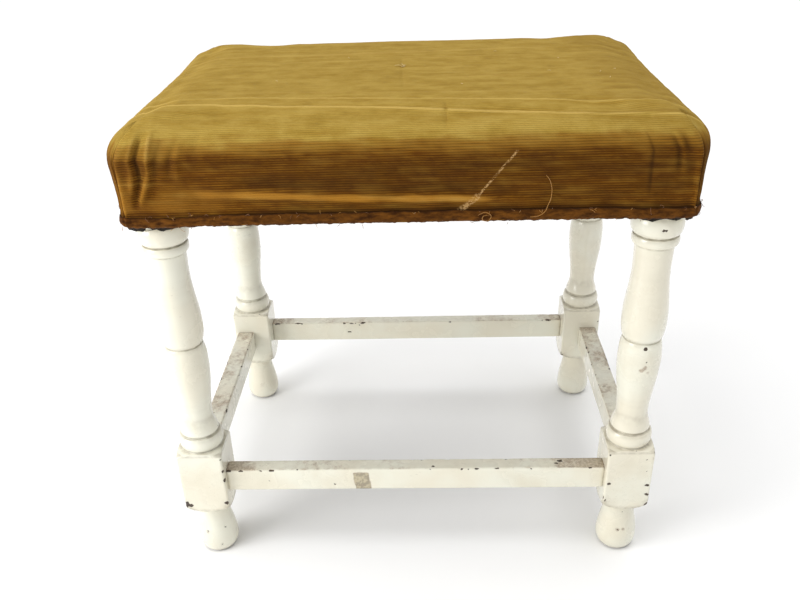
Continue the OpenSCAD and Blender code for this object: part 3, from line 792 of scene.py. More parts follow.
def inflate(obj, pressure, pinned, cap):
    """Runs the cloth simulation on obj for 20 frames and returns its points, none moved more than cap."""
    start = points_of(obj.data)
    group = obj.vertex_groups.new(name="held")
    group.add([int(i) for i in pinned], 1.0, "REPLACE")
    cloth = obj.modifiers.new("cloth", "CLOTH")
    s = cloth.settings
    s.quality, s.mass, s.vertex_group_mass = 5, 0.3, "held"
    s.tension_stiffness = s.compression_stiffness = 20
    s.bending_stiffness = 2.0
    s.use_pressure, s.uniform_pressure_force = True, pressure
    s.effector_weights.gravity = 0
    cloth.collision_settings.use_collision = False
    cloth.point_cache.frame_start, cloth.point_cache.frame_end = 1, 20
    scene = bpy.context.scene
    for f in range(1, 21):
        scene.frame_set(f)
    graph = bpy.context.evaluated_depsgraph_get()
    moved = points_of(obj.evaluated_get(graph).data)
    obj.modifiers.clear()
    obj.vertex_groups.clear()
    scene.frame_set(1)
    step = moved - start
    size = np.linalg.norm(step, axis=1)
    capped = cap * np.tanh(size / cap)
    return start + step * (capped / np.maximum(size, 1e-9))[:, None]


def make_padding_surface():
    """The outside of the foam and wadding, swelled by the simulation."""
    shell = Shell(6 * MM, 9 * MM, 9 * MM, 6, 6, 9, inset=PADDING_GAP)
    outer = new_object("padding_surface", shell.points, shell.faces(), None)
    settled = inflate(outer, 4.0, shell.row(-1), 5.0 * MM)
    # the frame behind the sides and the foam under the edge stop them from moving in
    lead = ((settled - shell.points) * shell.out).sum(1)
    least = -0.4 * MM - 1.4 * MM * smooth(shell.out[:, 2], 0.0, 0.7)
    settled += shell.out * np.maximum(0, least - lead)[:, None]
    set_points(outer.data, settled)
    return shell, outer


def make_padding(shell, outer, cover_points):
    """Foam and wadding as one crowned piece, hollow over the seat board and the rails."""
    points = points_of(outer.data)
    cover_tree = KDTree(len(cover_points))
    for i, p in enumerate(cover_points):
        cover_tree.insert(p, i)
    cover_tree.balance()
    press_reach, cloth = 8 * MM, 1.5 * MM
    for i, out in enumerate(shell.out):
        # the folds press into the padding all round this point
        found = [place for place, _, _ in cover_tree.find_range(points[i], press_reach)]
        if found:
            lead = float(np.max((points[i] - np.array(found)) @ out)) + cloth
            points[i] -= out * max(0.0, lead)
    gap = 0.3 * MM
    inner = shell.points.copy()
    board = BOARD_HIGH[:2] + gap
    on_top = np.arange(len(inner)) < shell.first
    inner[on_top, :2] *= board / shell.flat
    inner[on_top, 2] = BOARD_HIGH[2] + gap
    wall = ~on_top
    inner[wall, :2] = np.clip(inner[wall, :2] * 1.2, -board, board)
    share = (inner[wall, 2] - HEM_Z) / (shell.top - HEM_Z)
    inner[wall, 2] = RAIL_LOW[2] + share * (BOARD_HIGH[2] + gap - RAIL_LOW[2])
    # thin padding stays outside its own lining, and neither reaches the cover
    room = ((points - inner) * shell.out).sum(1)
    inner -= shell.out * np.maximum(0, 0.4 * MM - room)[:, None] * wall[:, None]
    faces, n = shell.faces(), len(inner)
    faces += [tuple(n + i for i in reversed(f)) for f in faces]
    rim = [int(i) for i in shell.row(-1)]
    faces += [(a, n + a, n + b, b) for a, b in zip(rim, rim[1:] + rim[:1])]
    obj = new_object("seat_padding", np.vstack([points, inner]), faces, MATERIALS["wadding"])
    bpy.data.objects.remove(outer)
    finish_piece(obj, "wadding", "foam_pad", "wadding")


# ---- the cover's folds: places, widths and heights in millimetres ----


def crease(u, z, path, width, height, fade=6.0):
    """A ridge (height over 0) or a valley that follows path, (u, z) pairs from its top to its bottom."""
    us, zs = zip(*path)
    line = np.interp(-z, [-v for v in zs], us)
    ends = smooth(z, zs[-1] - fade, zs[-1] + fade) * smooth(z, zs[0] + fade, zs[0] - fade)
    return height * np.exp(-((u - line) / width) ** 2) * ends


FRONT_LEFT_FOLDS = [
    ([(-226, 468), (-224, 457), (-222, 446), (-221.5, 436), (-226, 420), (-227.5, 411)], 2.5, -2.9),
    ([(-230, 470), (-227, 446), (-229, 425)], 3.0, 1.5),
    ([(-218, 471), (-212.5, 453), (-213, 440), (-218, 427), (-224, 414)], 2.3, 2.1),
    ([(-207, 466), (-206.5, 454), (-209, 430), (-214, 418)], 3.2, -1.4),
    ([(-193.5, 462), (-194, 452), (-196, 438)], 2.8, -1.3),
    ([(-188.5, 462), (-188.5, 447), (-190, 434)], 3.0, 1.0),
    ([(-236, 462), (-237, 440), (-238, 405)], 3.5, 0.9),
    ([(-176, 470), (-175, 452)], 4.0, -0.7),
]
FRONT_RIGHT_FOLDS = [
    ([(220.5, 463), (221, 452), (222.5, 436)], 2.6, -1.5),
    ([(229, 464), (227.5, 450)], 3.0, -1.5),
    ([(224.5, 462), (224.5, 446), (226, 432)], 2.0, 0.9),
    ([(236, 462), (238, 430), (240, 402)], 3.2, 1.3),
    ([(187, 470), (188, 457)], 4.5, -0.7),
]


def mirrored(folds, shift, scale):
    return [([(-u + shift, z) for u, z in path], width, height * scale) for path, width, height in folds]


def half_length(side):
    return (HALF_W if side in (FRONT, BACK) else HALF_D) / MM


def face_folds(side, u, z, rng):
    """The folds of the front or the back, and the small gathers and tack pulls that every side has."""
    total = np.zeros_like(u)
    folds = []
    if side == FRONT:
        folds = FRONT_LEFT_FOLDS + FRONT_RIGHT_FOLDS
    elif side == BACK:
        folds = mirrored(FRONT_LEFT_FOLDS, 2.5, 0.8) + mirrored(FRONT_RIGHT_FOLDS, -3.0, 0.9)
    for path, width, height in folds:
        total += crease(u, z, path, width, height)
    reach = half_length(side)
    for _ in range(16):
        # a small upright gather under the rounded edge
        place = rng.uniform(-reach + 20, reach - 20)
        top, low = rng.uniform(462, 472), rng.uniform(440, 456)
        near_end = 0.35 + 0.65 * smooth(abs(place), reach - 150, reach - 20)
        total += crease(u, z, [(place, top), (place + rng.uniform(-3, 3), low)], rng.uniform(4, 6.5),
                        rng.uniform(-0.55, 0.35) * near_end)
    for place in np.arange(-reach + 30, reach - 20, TACK_PITCH) + rng.uniform(-4, 4):
        # the pull of a tack at the hem
        total += crease(u, z, [(place, 424 + rng.uniform(-8, 6)), (place, 396)], rng.uniform(6, 11), -0.55)
    return total


def ridge_height(u):
    """Where the ridge runs along the lower part of a side."""
    return 414 - u * 0.035 + 0.6 * np.sin(u / 31.0)


def wall_shape(side, u, z):
    """The sag and the ridge that run along one side."""
    sag = -1.5 * bump(z, 440 + 3.0 * np.sin(u / 90.0 + side), 20)
    run = smooth(u, -190, -120) * smooth(u, 150, 40) if side == FRONT else 0.7
    ridge = 1.6 * bump(z, ridge_height(u), 4.2) * run
    return (1.0 if side == FRONT else 0.6) * (sag + ridge) - 1.2 * bump(z, 405.5, 3.2)


def overhang(z):
    """The rounded edge bulges past the walls, which draw in towards the hem."""
    return 3.0 * bump(z, 459, 15) + 0.8 * bump(z, 437, 14)


TOP_RIDGES = [
    ([(-230, -104), (-136, -107), (-48, -115), (38, -123), (122, -131), (203, -140), (235, -144)], 1.5, 0.8),
    ([(-232, -126), (-176, -126), (-89, -134), (0, -142), (80, -150), (159, -156), (235, -161)], 1.6, 1.0),
    ([(-230, -84), (-90, -92), (80, -104), (235, -108)], 3.0, 0.25),
    ([(-230, 62), (0, 70), (235, 84)], 5.0, 0.3),
    ([(-225, 20), (-150, 26), (-90, 34), (235, 50)], 2.2, 0.3),
    ([(-225, 118), (-60, 124), (100, 132), (235, 136)], 2.4, 0.4),
]


def top_shape(x, y):
    """The lines pressed into the top: long ridges, two short creases, the button's dimple and wrinkles."""
    total = np.zeros_like(x)
    for path, width, height in TOP_RIDGES:
        xs, ys = zip(*path)
        away = y - np.interp(x, xs, ys)
        # each ridge has a shallow valley behind it
        total += height * (bump(away, 0, width) - 0.55 * bump(away, 2.2 * width, 1.6 * width))
    total -= 0.5 * bump(x, -5 - (y + 20) * 0.03, 1.8) * smooth(y, -90, -70) * smooth(y, 48, 30)
    total -= 0.7 * bump(x, 34, 1.7) * smooth(y, -176, -166) * smooth(y, -126, -134)
    total -= 0.8 * bump(np.hypot(x + 4, y - 5), 0, 4)
    rng = random.Random(5)
    for _ in range(34):
        # short wrinkles that follow the ribs
        px, py, reach = rng.uniform(-215, 215), rng.uniform(-95, 150), rng.uniform(8, 34)
        rise = rng.uniform(0.12, 0.34)
        line = py + rng.uniform(-0.06, 0.06) * (x - px) + 1.2 * np.sin((x - px) / 14)
        total += rise * bump(y, line, 1.5) * np.exp(-((x - px) / reach) ** 4)
    return total


def on_padding(shell, padding):
    """The shell's points, moved to lie one gap outside the simulated padding."""
    skin = padding.copy()
    skin.data = padding.data.copy()
    bpy.context.scene.collection.objects.link(skin)
    skin.modifiers.new("smooth", "SUBSURF").levels = 2
    apply_modifiers(skin)
    tree = tree_of(points_of(skin.data), skin.data)
    bpy.data.objects.remove(skin)
    points, reach = shell.points.copy(), 14 * MM
    for i, (p, n) in enumerate(zip(shell.points, shell.out)):
        hit = tree.ray_cast(Vector(p - n * reach), Vector(n), 2 * reach)[0]
        if hit is not None:
            points[i] = np.array(hit) + n * PADDING_GAP
    # the lowest part is drawn tight round the rails
    hem = smooth(shell.points[:, 2], HEM_Z + 14 * MM, HEM_Z + 3 * MM)[:, None]
    return points * (1 - hem) + shell.points * hem


def side_shapes(shell, z):
    """The folds, and then the sag and ridge, of the four sides at every point, in millimetres."""
    rng = random.Random(7)
    folds, walls = np.zeros(len(z)), np.zeros(len(z))
    for side in range(4):
        u, reach = shell.round_place(side) / MM, half_length(side)
        here = (np.abs(u) < reach + 16) & (shell.drop > 0)
        folds[here] += face_folds(side, u[here], z[here], rng)
        inside = smooth(np.abs(u[here]), reach - 2, reach - 30)
        upright = smooth(shell.drop[here], ROLL * 0.8, ROLL * 1.8)
        walls[here] += wall_shape(side, u[here], z[here]) * inside * upright
    return folds, walls


def from_seam(shell):
    """Each point's distance round its corner from the seam, in millimetres, with the seam a little wavy."""
    away = (shell.from_y - SEAM) * WALL_CORNER / MM * math.pi / 2
    away = np.concatenate([np.full(shell.first, 99.0), np.tile(away, shell.rows)])
    return away + 0.5 * noise_at(shell.points, 14, 12) + 0.25 * noise_at(shell.points, 5, 13)


def off_frame(points, out):
    """Keeps every fold clear of the wooden frame."""
    past = np.abs(points[:, :2]) - BOARD_HIGH[:2]
    away = np.hypot(*np.maximum(past, 0).T) + np.minimum(past.max(1), 0)
    beside = smooth(points[:, 2], BOARD_HIGH[2] + 4 * MM, BOARD_HIGH[2])
    return points + out * (np.maximum(0, FRAME_CLEARANCE - away) * beside)[:, None]


def cover_surface(shell, padding):
    """The cover's points, and at each its fade, lighter on the top and darker on the sides, painted shade
    with some fading, and its relief, painted light and shade on the folds, ridges and seams.
    """
    x, y, z = shell.points.T / MM
    out, on_top = shell.out, shell.drop == 0
    rolled = ~on_top
    u = shell.round_place(FRONT) / MM
    cloth = np.column_stack([shell.along, shell.across, np.zeros(len(x))])
    lines = top_shape(x, y) * (shell.drop < ROLL)
    edge_fade = smooth(shell.drop, ROLL * 1.3, 0.0)
    folds, walls = side_shapes(shell, z)
    # at each seam the front's cloth lies over the side's, which sinks beside it; through relief the lip also
    # gets a painted highlight and the sunk cloth a painted shadow line
    away, seam_depth = from_seam(shell), smooth(shell.drop, ROLL * 0.9, ROLL * 2.2)
    seam = (1.3 * bump(away, -2.2, 1.5) - 1.9 * bump(away, 0.5, 0.8) + 0.5 * bump(away, 2.6, 1.3)
            + 0.4 * smooth(away, 0.2, -0.6) * smooth(away, -14, -4))
    fine = lines * edge_fade + folds + seam_depth * seam
    # one layer of cloth ends under the cover near the right end of the front
    layer = smooth(u, 199.0, 201.5) * smooth(u, 250, 240) * smooth(z, 466, 460)
    # a painted shadow line along that layer's edge, and painted shade over the layer under the rounded edge,
    # both in relief below
    layer_edge_shadow = bump(u, 199.6, 1.3) * smooth(z, 467, 462) * smooth(z, 404, 430)
    # the back corners are the fullest
    fuller = smooth(np.abs(x), 150, 245) * smooth(y, 20, 170) * smooth(z, 440, 465)
    waves = 3.4 * fuller * smooth(out[:, 2], 0.95, 0.5)
    waves += np.where(on_top, 0.3 * noise_at(shell.points, 70, 3), 0.5 * noise_at(shell.points, 40, 4))
    streaks = 0.32 * noise_at(cloth, (110, 9, 1), 5) + 0.18 * noise_at(cloth, (60, 4.5, 1), 6)
    crumple = 0.14 * noise_at(shell.points, 7, 8)
    held = smooth(shell.points[:, 2], HEM_Z + 2 * MM, HEM_Z + 12 * MM)
    shift = fine + 0.6 * layer + walls + overhang(z) * rolled + waves + streaks + crumple
    shift = shift * held - 0.5 * (1 - held)
    points = off_frame(on_padding(shell, padding) + out * (shift * MM)[:, None], out)

    # fade: 1 on the top, 0 on the sides, by the cloth's tilt; the material paints the sides darker with it,
    # painted shade along with some fading on top
    upright = out[:, 2] + 0.22 * noise_at(cloth, (30, 3, 1), 15) + 0.1 * noise_at(cloth, 8, 16)
    fade = smooth(upright, -0.04, 0.66)
    front = rolled & (np.abs(u) < HALF_W / MM)
    ridge_run = smooth(u, -195, -120) * smooth(u, 120, 30) * front
    # painted highlight along the ridge, and painted shade in a band above it
    ridge_light = bump(z, ridge_height(u) + 0.5, 3.4) * ridge_run * (0.75 + 0.5 * noise_at(cloth, 16, 14))
    ridge_shade = bump(z, ridge_height(u) + 9.5, 5.5) * ridge_run
    # a painted glow of light on the lower left of the front
    left_glow = smooth(u, -110, -180) * smooth(z, 462, 425) * front
    # painted shade in a band along the sag of the walls
    band = bump(z, 441 + 3 * np.sin(u / 60), 9) * rolled
    # relief is how light or dark the material paints the cloth: painted highlights where it stands out,
    # painted shade where it sinks
    relief = np.clip((fine + 0.4 * streaks) / 3.4, -0.6, 0.6)
    # painted light on the ridge, the glow on the lower left and a band round the ridge; then painted shade in
    # the sag's band, above the ridge and at the layer
    relief += 1.7 * ridge_light + 0.6 * left_glow + 0.14 * bump(z, 412, 9) * rolled
    relief -= 0.12 * band + 0.25 * ridge_shade + 0.6 * layer_edge_shadow + 0.16 * layer * bump(z, 455, 14)
    # painted shade over all the walls
    relief -= WALL_SHADE * seam_depth
    relief = np.clip(relief, -1, 1)
    # painted highlights on the top's ridges, and a little painted shade in the valleys behind them
    relief += np.where(lines > 0, 1.1, 0.1) * lines
    # a painted shadow line just above the hem, and the right end of the top darker
    relief -= 0.8 * bump(z, 402.0, 2.2) * rolled + 0.3 * smooth(x, 120, 200) * smooth(out[:, 2], 0.3, 0.95)
    return points, fade, relief


def turned_in(shell, base):
    """Rows of points for the edge, which turns in under the rails, less far where a leg stands in its way."""
    at_leg = (np.abs(base[:, :2]) > LEG_INNER - 2 * MM).all(1)
    depth = np.where(at_leg, 4.2 * MM, TURN_IN)
    rows = []
    for share, sink in ((0.06, 0.63), (0.16, 1.1), (0.5, 1.3), (1.0, 1.2)):
        p = base.copy()
        p[:, :2] -= shell.normal * (depth * share)[:, None]
        p[:, 2] -= sink * MM
        p[:, 2] += 0.25 * MM * noise_at(p, 9, 11)
        rows.append((share, p))
    return rows


def make_cover(padding):
    """The needlecord cover: a cloth shell on the padding, with its folds, and its edge turned in."""
    shell = Shell(1.8 * MM, 7.0 * MM, 2.8 * MM, 24, 15, 32,
                  also=[(middle + d) * MM for middle in (-5, 34) for d in (-3.2, -1.6, 0, 1.6, 3.2)])
    points, fade, relief = cover_surface(shell, padding)
    faces, edge = shell.faces(), shell.row(-1)
    along, across = [shell.along], [shell.across]
    row = edge
    for share, p in turned_in(shell, points[edge]):
        lower = len(points) + np.arange(shell.count)
        points = np.vstack([points, p])
        faces += [tuple(int(i) for i in f) for f in zip(row, lower, np.roll(lower, -1), np.roll(row, -1))]
        along.append(shell.along[edge])
        across.append(shell.across[edge] + share * 13 * MM)
        row = lower
    more = len(points) - len(fade)
    # the turned-in edge gets the sides' colours and relief -0.5: painted shade under the rails
    attributes = {"along": np.concatenate(along), "across": np.concatenate(across),
                  "fade": np.append(fade, np.zeros(more)), "relief": np.append(relief, np.full(more, -0.5))}
    obj = new_object("cord_cover", points, faces, MATERIALS["cord_cloth"], attributes)
    thicken(obj, 1.2, -1.0)
    finish_piece(obj, "cord_cloth", "seat_cover")
    return shell, obj, points


# ---- hem, threads and lining ----


class Outline:
    """The line round the seat at the hem, with its outward direction, by the distance round it."""

    def __init__(self, shell, points):
        row = points[shell.row(-6)]
        step = np.linalg.norm(np.diff(np.vstack([row, row[:1]])[:, :2], axis=0), axis=1)
        self.length = step.sum()
        self.at = np.concatenate([[0], np.cumsum(step)[:-1]])
        self.x, self.y = row[:, 0], row[:, 1]
        self.nx, self.ny = shell.normal[:, 0], shell.normal[:, 1]

    def place(self, u, lead, z):
        """Points lead outside the line at height z."""
        u = np.asarray(u) % self.length
        x, y, nx, ny = (np.interp(u, self.at, v, period=self.length)
                        for v in (self.x, self.y, self.nx, self.ny))
        size = np.hypot(nx, ny)
        return np.column_stack([x + nx / size * lead, y + ny / size * lead, np.broadcast_to(z, x.shape)])


def along_hem(outline, count):
    """Noise inputs that close up round the seat: points on a circle as long as the hem."""
    u = np.arange(count) / count * outline.length
    r = outline.length / (2 * math.pi)
    return u, np.column_stack([r * np.cos(u / r), r * np.sin(u / r), np.zeros(count)])


LEG_PLACES = {leg: sum(node_box(leg)) / 2 for leg in LEGS}


def leg_nearness(points):
    """From 0 to 1, how close each point is to a leg; the front left one counts most."""
    total = np.zeros(len(points))
    for leg, middle in LEG_PLACES.items():
        away = np.linalg.norm(points[:, :2] - middle[:2], axis=1)
        total = np.maximum(total, smooth(away, 62 * MM, 30 * MM) * (1.0 if leg == "leg_front_left" else 0.45))
    return total


def make_hem(outline):
    """The raw brown edging: a crumpled ribbon with uneven edges."""
    count, rows = 1400, 10
    u, ring = along_hem(outline, count)
    leg = leg_nearness(outline.place(u, 0, 0))
    high = HEM_HIGH[2] + MM * (0.9 * noise_at(ring, 30, 1) + 0.6 * noise_at(ring, 5, 2)
                               + 0.35 * noise_at(ring, 2.2, 3) - 2.2 - 1.6 * leg)
    low = HEM_LOW[2] + MM * (0.6 * noise_at(ring, 26, 4) + 0.8 * noise_at(ring, 4, 5)
                             + 0.5 * noise_at(ring, 1.9, 6) - 0.6 - leg)
    points, worn = [], []
    for share in np.linspace(0, 1, rows):
        spot = ring + np.array([0, 0, 12 * MM]) * share
        crumple = 0.7 * noise_at(spot, 6, 7) + 0.45 * noise_at(spot, 2.5, 8)
        lead = 0.9 + 0.8 * math.sin(math.pi * min(1, share * 1.1)) - 1.6 * smooth(share, 0.8, 1.0)
        points.append(outline.place(u, (lead + crumple * (0.4 + share)) * MM, high + (low - high) * share))
        # darker at the top edge, a painted shadow line where it meets the cover, and darker along the raw
        # bottom edge; these go into wear
        at_edges = 0.9 * smooth(share, 0.16, 0.0) + 0.5 * smooth(share, 0.8, 1.0)
        worn.append(at_edges + 0.3 * noise_at(spot, 9, 9))
    faces = [tuple(reversed(f)) for f in ring_faces(rows, count)]
    obj = new_object("frayed_hem", np.vstack(points), faces, MATERIALS["hem_cloth"],
                     {"wear": np.clip(np.concatenate(worn), 0, 1)})
    obj.data.flip_normals()
    thicken(obj, 0.7, 1.0)
    finish_piece(obj, "hem_cloth", "cover_hem_strip")


def tube(path, radius, sides=5):
    """Points and faces of a thread along path, thinner at its ends."""
    path = np.asarray(path, float)
    steps = np.gradient(path, axis=0)
    steps /= np.maximum(np.linalg.norm(steps, axis=1), 1e-9)[:, None]
    n, points = len(path), []
    for i, (p, d) in enumerate(zip(path, steps)):
        a = np.cross(d, (0.31, 0.52, 0.79))
        a /= np.linalg.norm(a)
        b = np.cross(d, a)
        thin = radius * (0.45 + 0.55 * math.sin(math.pi * (i + 0.5) / n) ** 0.5)
        points += [p + (a * math.cos(t) + b * math.sin(t)) * thin
                   for t in (2 * math.pi * k / sides for k in range(sides))]
    ends = [tuple(reversed(range(sides))), tuple((n - 1) * sides + k for k in range(sides))]
    return points, ring_faces(n, sides) + ends


def thread_object(name, paths, material, slot):
    verts, faces = [], []
    for path, radius in paths:
        p, f = tube(path, radius)
        faces += [tuple(i + len(verts) for i in face) for face in f]
        verts += p
    finish_piece(new_object(name, verts, faces, material), slot)


def curl(start, heading, length, rng, bend=1.0, steps=9):
    """A short loose fibre from start, that wanders as it goes and falls a little."""
    p, d = np.array(start, float), np.array(heading, float)
    path = [p.copy()]
    axis = np.array([rng.uniform(-1, 1) for _ in range(3)])
    for _ in range(steps):
        d = d + np.cross(axis, d) * 0.28 * bend + np.array([0, 0, -0.06]) + 0.12 * np.array(
            [rng.uniform(-1, 1) for _ in range(3)])
        d /= np.linalg.norm(d)
        p = p + d * length / steps
        path.append(p.copy())
    return path


def surface_thread(tree, spots, lift):
    """A smooth path over the front of the cover through (x, z) spots, lift outside it."""
    v = np.array(spots, float)
    v = np.vstack([v[:1], v, v[-1:]])
    path = []
    for t in np.linspace(0, len(spots) - 1, 8 * (len(spots) - 1) + 1):
        i = min(int(t), len(spots) - 2)
        s = t - i
        before, a, b, after = v[i:i + 4]
        x, z = 0.5 * (2 * a + (b - before) * s + (2 * before - 5 * a + 4 * b - after) * s ** 2
                      + (3 * a - before - 3 * b + after) * s ** 3)
        hit = tree.ray_cast(Vector((x * MM, -0.4, z * MM)), Vector((0, 1, 0)))[0]
        past_hem = 2.0 * MM * float(smooth(z, 408, 402))
        path.append(np.array(hit) - np.array([0, lift + past_hem, 0]))
    return path


# (x, z) places on the front, in millimetres
LOOSE_THREAD = [(115.5, 432), (119, 427), (121, 419), (120, 410), (116.5, 402), (111, 397.5), (104, 396.5)]
HEM_CURL = [(60, 399), (66, 401.5), (71, 398.5), (69, 394), (64, 394.5), (64.5, 398), (68, 399)]
# lint on the top: x, y and length
LINT = [(195, -29, 5), (185, -63, 3.5), (180, -40, 4), (133, -31, 4.5), (50, -76, 4), (-4, 6, 9), (-2, 4, 7),
        (-6, 5, 7), (-3, 8, 8), (-120, -52, 3.5), (-60, 44, 3), (92, 60, 3.5), (150, 20, 3)]


def unit(v):
    return v / np.linalg.norm(v)


def hem_fibre(outline, rng):
    """One loose fibre at the top or the bottom edge of the hem."""
    u = rng.uniform(0, outline.length)
    at_top = rng.random() < 0.65
    if at_top:
        z = HEM_HIGH[2] - rng.uniform(2, 3.5) * MM
    else:
        z = HEM_LOW[2] + (rng.uniform(-1.0, 2.0) - leg_nearness(outline.place([u], 0, 0))[0]) * MM
    start = outline.place([u], 1.2 * MM, z)[0]
    ahead = unit(outline.place([u + 1 * MM], 1.2 * MM, z)[0] - start)
    out = np.cross(ahead, [0, 0, 1])
    heading = ahead * rng.uniform(-1, 1) + out * rng.uniform(0.1, 0.6) + np.array(
        [0, 0, rng.uniform(-0.1, 0.7) if at_top else rng.uniform(-0.8, 0.1)])
    return start, unit(heading), rng.uniform(2.0, 5.0) * MM * (1.6 if rng.random() < 0.12 else 1)


def make_threads(outline, cover_tree):
    """Loose fibres round the hem, two long threads on the front and lint on the top."""
    rng = random.Random(11)
    gold, brown, pale = [], [], []
    for _ in range(250):
        start, heading, length = hem_fibre(outline, rng)
        target = gold if rng.random() < 0.45 else brown
        path = curl(start, heading, length, rng, rng.uniform(0.3, 1.6))
        target.append((path, rng.uniform(0.14, 0.24) * MM))
    gold.append((surface_thread(cover_tree, LOOSE_THREAD, 0.9 * MM), 0.32 * MM))
    gold.append((surface_thread(cover_tree, HEM_CURL, 1.2 * MM), 0.3 * MM))
    for x, y, length in LINT:
        hit = cover_tree.ray_cast(Vector((x * MM, y * MM, 0.6)), Vector((0, 0, -1)))[0]
        start = np.array(hit) + np.array([0, 0, 0.7 * MM])
        heading = unit(np.array([rng.uniform(-1, 1), rng.uniform(-1, 1), 0.35]))
        path = np.array(curl(start, heading, length * MM, rng, 1.6))
        path[:, 2] = np.maximum(path[:, 2], start[2])
        pale.append((path, 0.3 * MM))
    thread_object("gold_threads", gold, GOLD_YARN, "cord_cloth")
    thread_object("pale_lint", pale, PALE_YARN, "cord_cloth")
    thread_object("brown_threads", brown, BROWN_YARN, "hem_cloth")


def make_rags():
    """Torn black dust cloth round the top of each leg, just under the hem."""
    verts, faces, columns, rows = [], [], 72, 5
    for number, leg in enumerate(LEGS):
        low, high = node_box(leg)
        middle, half = ((low + high) / 2)[:2], (high[0] - low[0]) / 2
        outline = eased_rectangle(half, half, 6 * MM, 2.9 * MM)
        ring = outline[np.linspace(0, len(outline) - 1, columns).round().astype(int)]
        size = np.linalg.norm(ring, axis=1)
        outer = smooth((ring / size[:, None]) @ (np.sign(middle) / math.sqrt(2)), -0.2, 0.35)
        spots = np.column_stack([ring + middle, np.zeros(columns)])
        torn = 4.2 + 1.8 * noise_at(spots, 9, 31 + number) + 2.2 * noise_at(spots, 3.4, 41 + number)
        drop = np.maximum(0.4, torn * (0.35 + 0.65 * outer))
        start = len(verts)
        for share in np.linspace(0, 1, rows):
            z = COVER_LOW[2] + (0.8 - (drop + 1.2) * share) * MM
            uneven = noise_at(spots + np.array([0, 0, 6 * MM]) * share, 4, 51 + number)
            lead = (0.7 + (0.5 + 0.9 * share) * (0.6 + uneven)) * MM
            p = ring * (1 + lead / size)[:, None] * (1 - 0.045 * share) + middle
            verts += list(np.column_stack([p, z]))
        faces += [(a, a + columns, a + columns + 1, a + 1) for r in range(rows - 1)
                  for a in range(start + r * columns, start + (r + 1) * columns - 1)]
    obj = new_object("torn_lining_edges", verts, faces, MATERIALS["black_lining"])
    thicken(obj, 0.4)
    finish_piece(obj, "black_lining")


def make_lining():
    """The dust cloth under the seat, sagging between the rails and torn at the legs."""
    low, high = node_box("underside_lining")
    nx, ny = 110, 76
    grid = np.meshgrid(np.linspace(low[0], high[0], nx), np.linspace(low[1], high[1], ny))
    x, y = (g.ravel() for g in grid)
    spots = np.column_stack([x, y, np.zeros(len(x))])
    from_x, from_y = high[0] - np.abs(x), high[1] - np.abs(y)
    inner = np.minimum(from_x, from_y)
    sag = 6.0 * smooth(inner, 8 * MM, 120 * MM)
    ripple = 0.9 * noise_at(spots, (60, 22, 1), 61) + 0.4 * noise_at(spots, 14, 62)
    pull = 0.5 * np.sin((x + y) / (9 * MM)) * smooth(np.hypot(from_x, from_y), 110 * MM, 40 * MM)
    z = high[2] - (0.9 + sag + (ripple + pull) * smooth(inner, 3 * MM, 30 * MM)) * MM
    z = np.minimum(z, high[2] - 0.45 * MM)
    torn = (2.2 * noise_at(spots, 8, 63) + 1.2 * noise_at(spots, 3, 64) - 3.5) * MM
    open_here = (np.abs(x) > LEG_INNER[0] + torn) & (np.abs(y) > LEG_INNER[1] + torn)
    corners = ((j * nx + i, j * nx + i + 1, (j + 1) * nx + i + 1, (j + 1) * nx + i)
               for j in range(ny - 1) for i in range(nx - 1))
    faces = [f for f in corners if not any(open_here[c] for c in f)]
    used = sorted({c for f in faces for c in f})
    number = {old: new for new, old in enumerate(used)}
    obj = new_object("dust_lining", np.column_stack([x, y, z])[used],
                     [tuple(number[c] for c in f) for f in faces], MATERIALS["black_lining"])
    thicken(obj, 0.4)
    finish_piece(obj, "black_lining", "underside_lining")


# ---- camera, lights and floor ----


def make_camera():
    """A camera in front of the bench and above it, looking down at the seat's front edge."""
    data = bpy.data.cameras.new("camera")
    data.lens, data.sensor_width, data.shift_y = 36.95, 36, 0.048
    obj = bpy.data.objects.new("camera", data)
    bpy.context.scene.collection.objects.link(obj)
    place = Matrix.Translation((0.0169, -0.8281, 0.6617))
    turn, tilt, lean = math.radians(2.286), math.radians(59.508), math.radians(-1.969)
    obj.matrix_world = (place @ Matrix.Rotation(turn, 4, "Z") @ Matrix.Rotation(tilt, 4, "X")
                        @ Matrix.Rotation(lean, 4, "Z"))
    bpy.context.scene.camera = obj


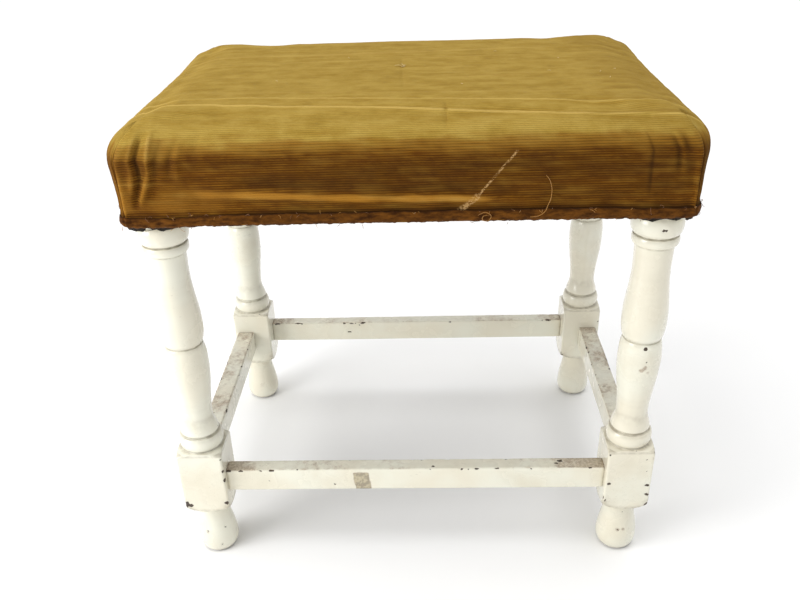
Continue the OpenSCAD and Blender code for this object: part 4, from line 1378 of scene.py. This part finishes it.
def add_light(name, kind, source, energy, place=(0, 0, 0)):
    """A light that shines from source towards the origin."""
    data = bpy.data.lights.new(name, kind)
    data.energy = energy
    obj = bpy.data.objects.new(name, data)
    obj.location = place
    obj.rotation_euler = Vector(source).to_track_quat("Z", "Y").to_euler()
    bpy.context.scene.collection.objects.link(obj)
    return data


def make_studio():
    scene = bpy.context.scene
    scene.view_settings.view_transform = "Standard"
    world = bpy.data.worlds.new("studio")
    world.use_nodes = True
    background = world.node_tree.nodes["Background"]
    background.inputs["Color"].default_value = (1, 1, 1, 1)
    background.inputs["Strength"].default_value = 0.64
    scene.world = world
    add_light("key", "SUN", (-0.9, -0.45, 1.1), 0.65).angle = math.radians(45)
    add_light("top", "SUN", (0.1, 0.1, 1.0), 1.12).angle = math.radians(60)
    # a large soft lamp on the left, so that the left legs are a little lighter than the right ones
    add_light("side", "AREA", (-1.0, -0.6, 0.3), 7.0, (-1.05, -0.65, 0.55)).size = 0.6
    m = Nodes("floor", 0.7, Specular_IOR_Level=0.1)
    m.set("Base Color", m.mix(m.noise(3, 4), (0.93, 0.93, 0.93, 1), (0.95, 0.95, 0.95, 1)))
    reach = 12
    corners = [(-reach, -reach, 0), (reach, -reach, 0), (reach, reach, 0), (-reach, reach, 0)]
    new_object("studio_floor", corners, [(0, 1, 2, 3)], m.material)


make_camera()
make_studio()
for number, leg in enumerate(LEGS):
    make_leg(leg, 20 + 10 * number)
for number, bar in enumerate(STRETCHERS):
    make_stretcher(bar, 70 + 10 * number)
padding_shell, padding_surface = make_padding_surface()
cover_shell, cover, cover_points = make_cover(padding_surface)
cover_tree = tree_of(cover_points, cover.data)
make_padding(padding_shell, padding_surface, cover_points)
hem_outline = Outline(cover_shell, cover_points)
make_hem(hem_outline)
make_threads(hem_outline, cover_tree)
make_rags()
make_lining()

# the CAD nodes that stay, apart from the rails and corner blocks, which are bare wood
NODE_SLOTS = {"corner_block_screws": "steel", "seat_board": "plywood", "seat_board_screws": "steel",
              "cover_tacks": "tack_steel", "lining_tacks": "tack_steel"}
for node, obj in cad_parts.items():
    wooden = node.startswith(("seat_rail", "corner_block"))
    if node in NODE_SLOTS or wooden:
        for slot in obj.material_slots:
            slot.material = MATERIALS[NODE_SLOTS.get(node, "bare_wood")]
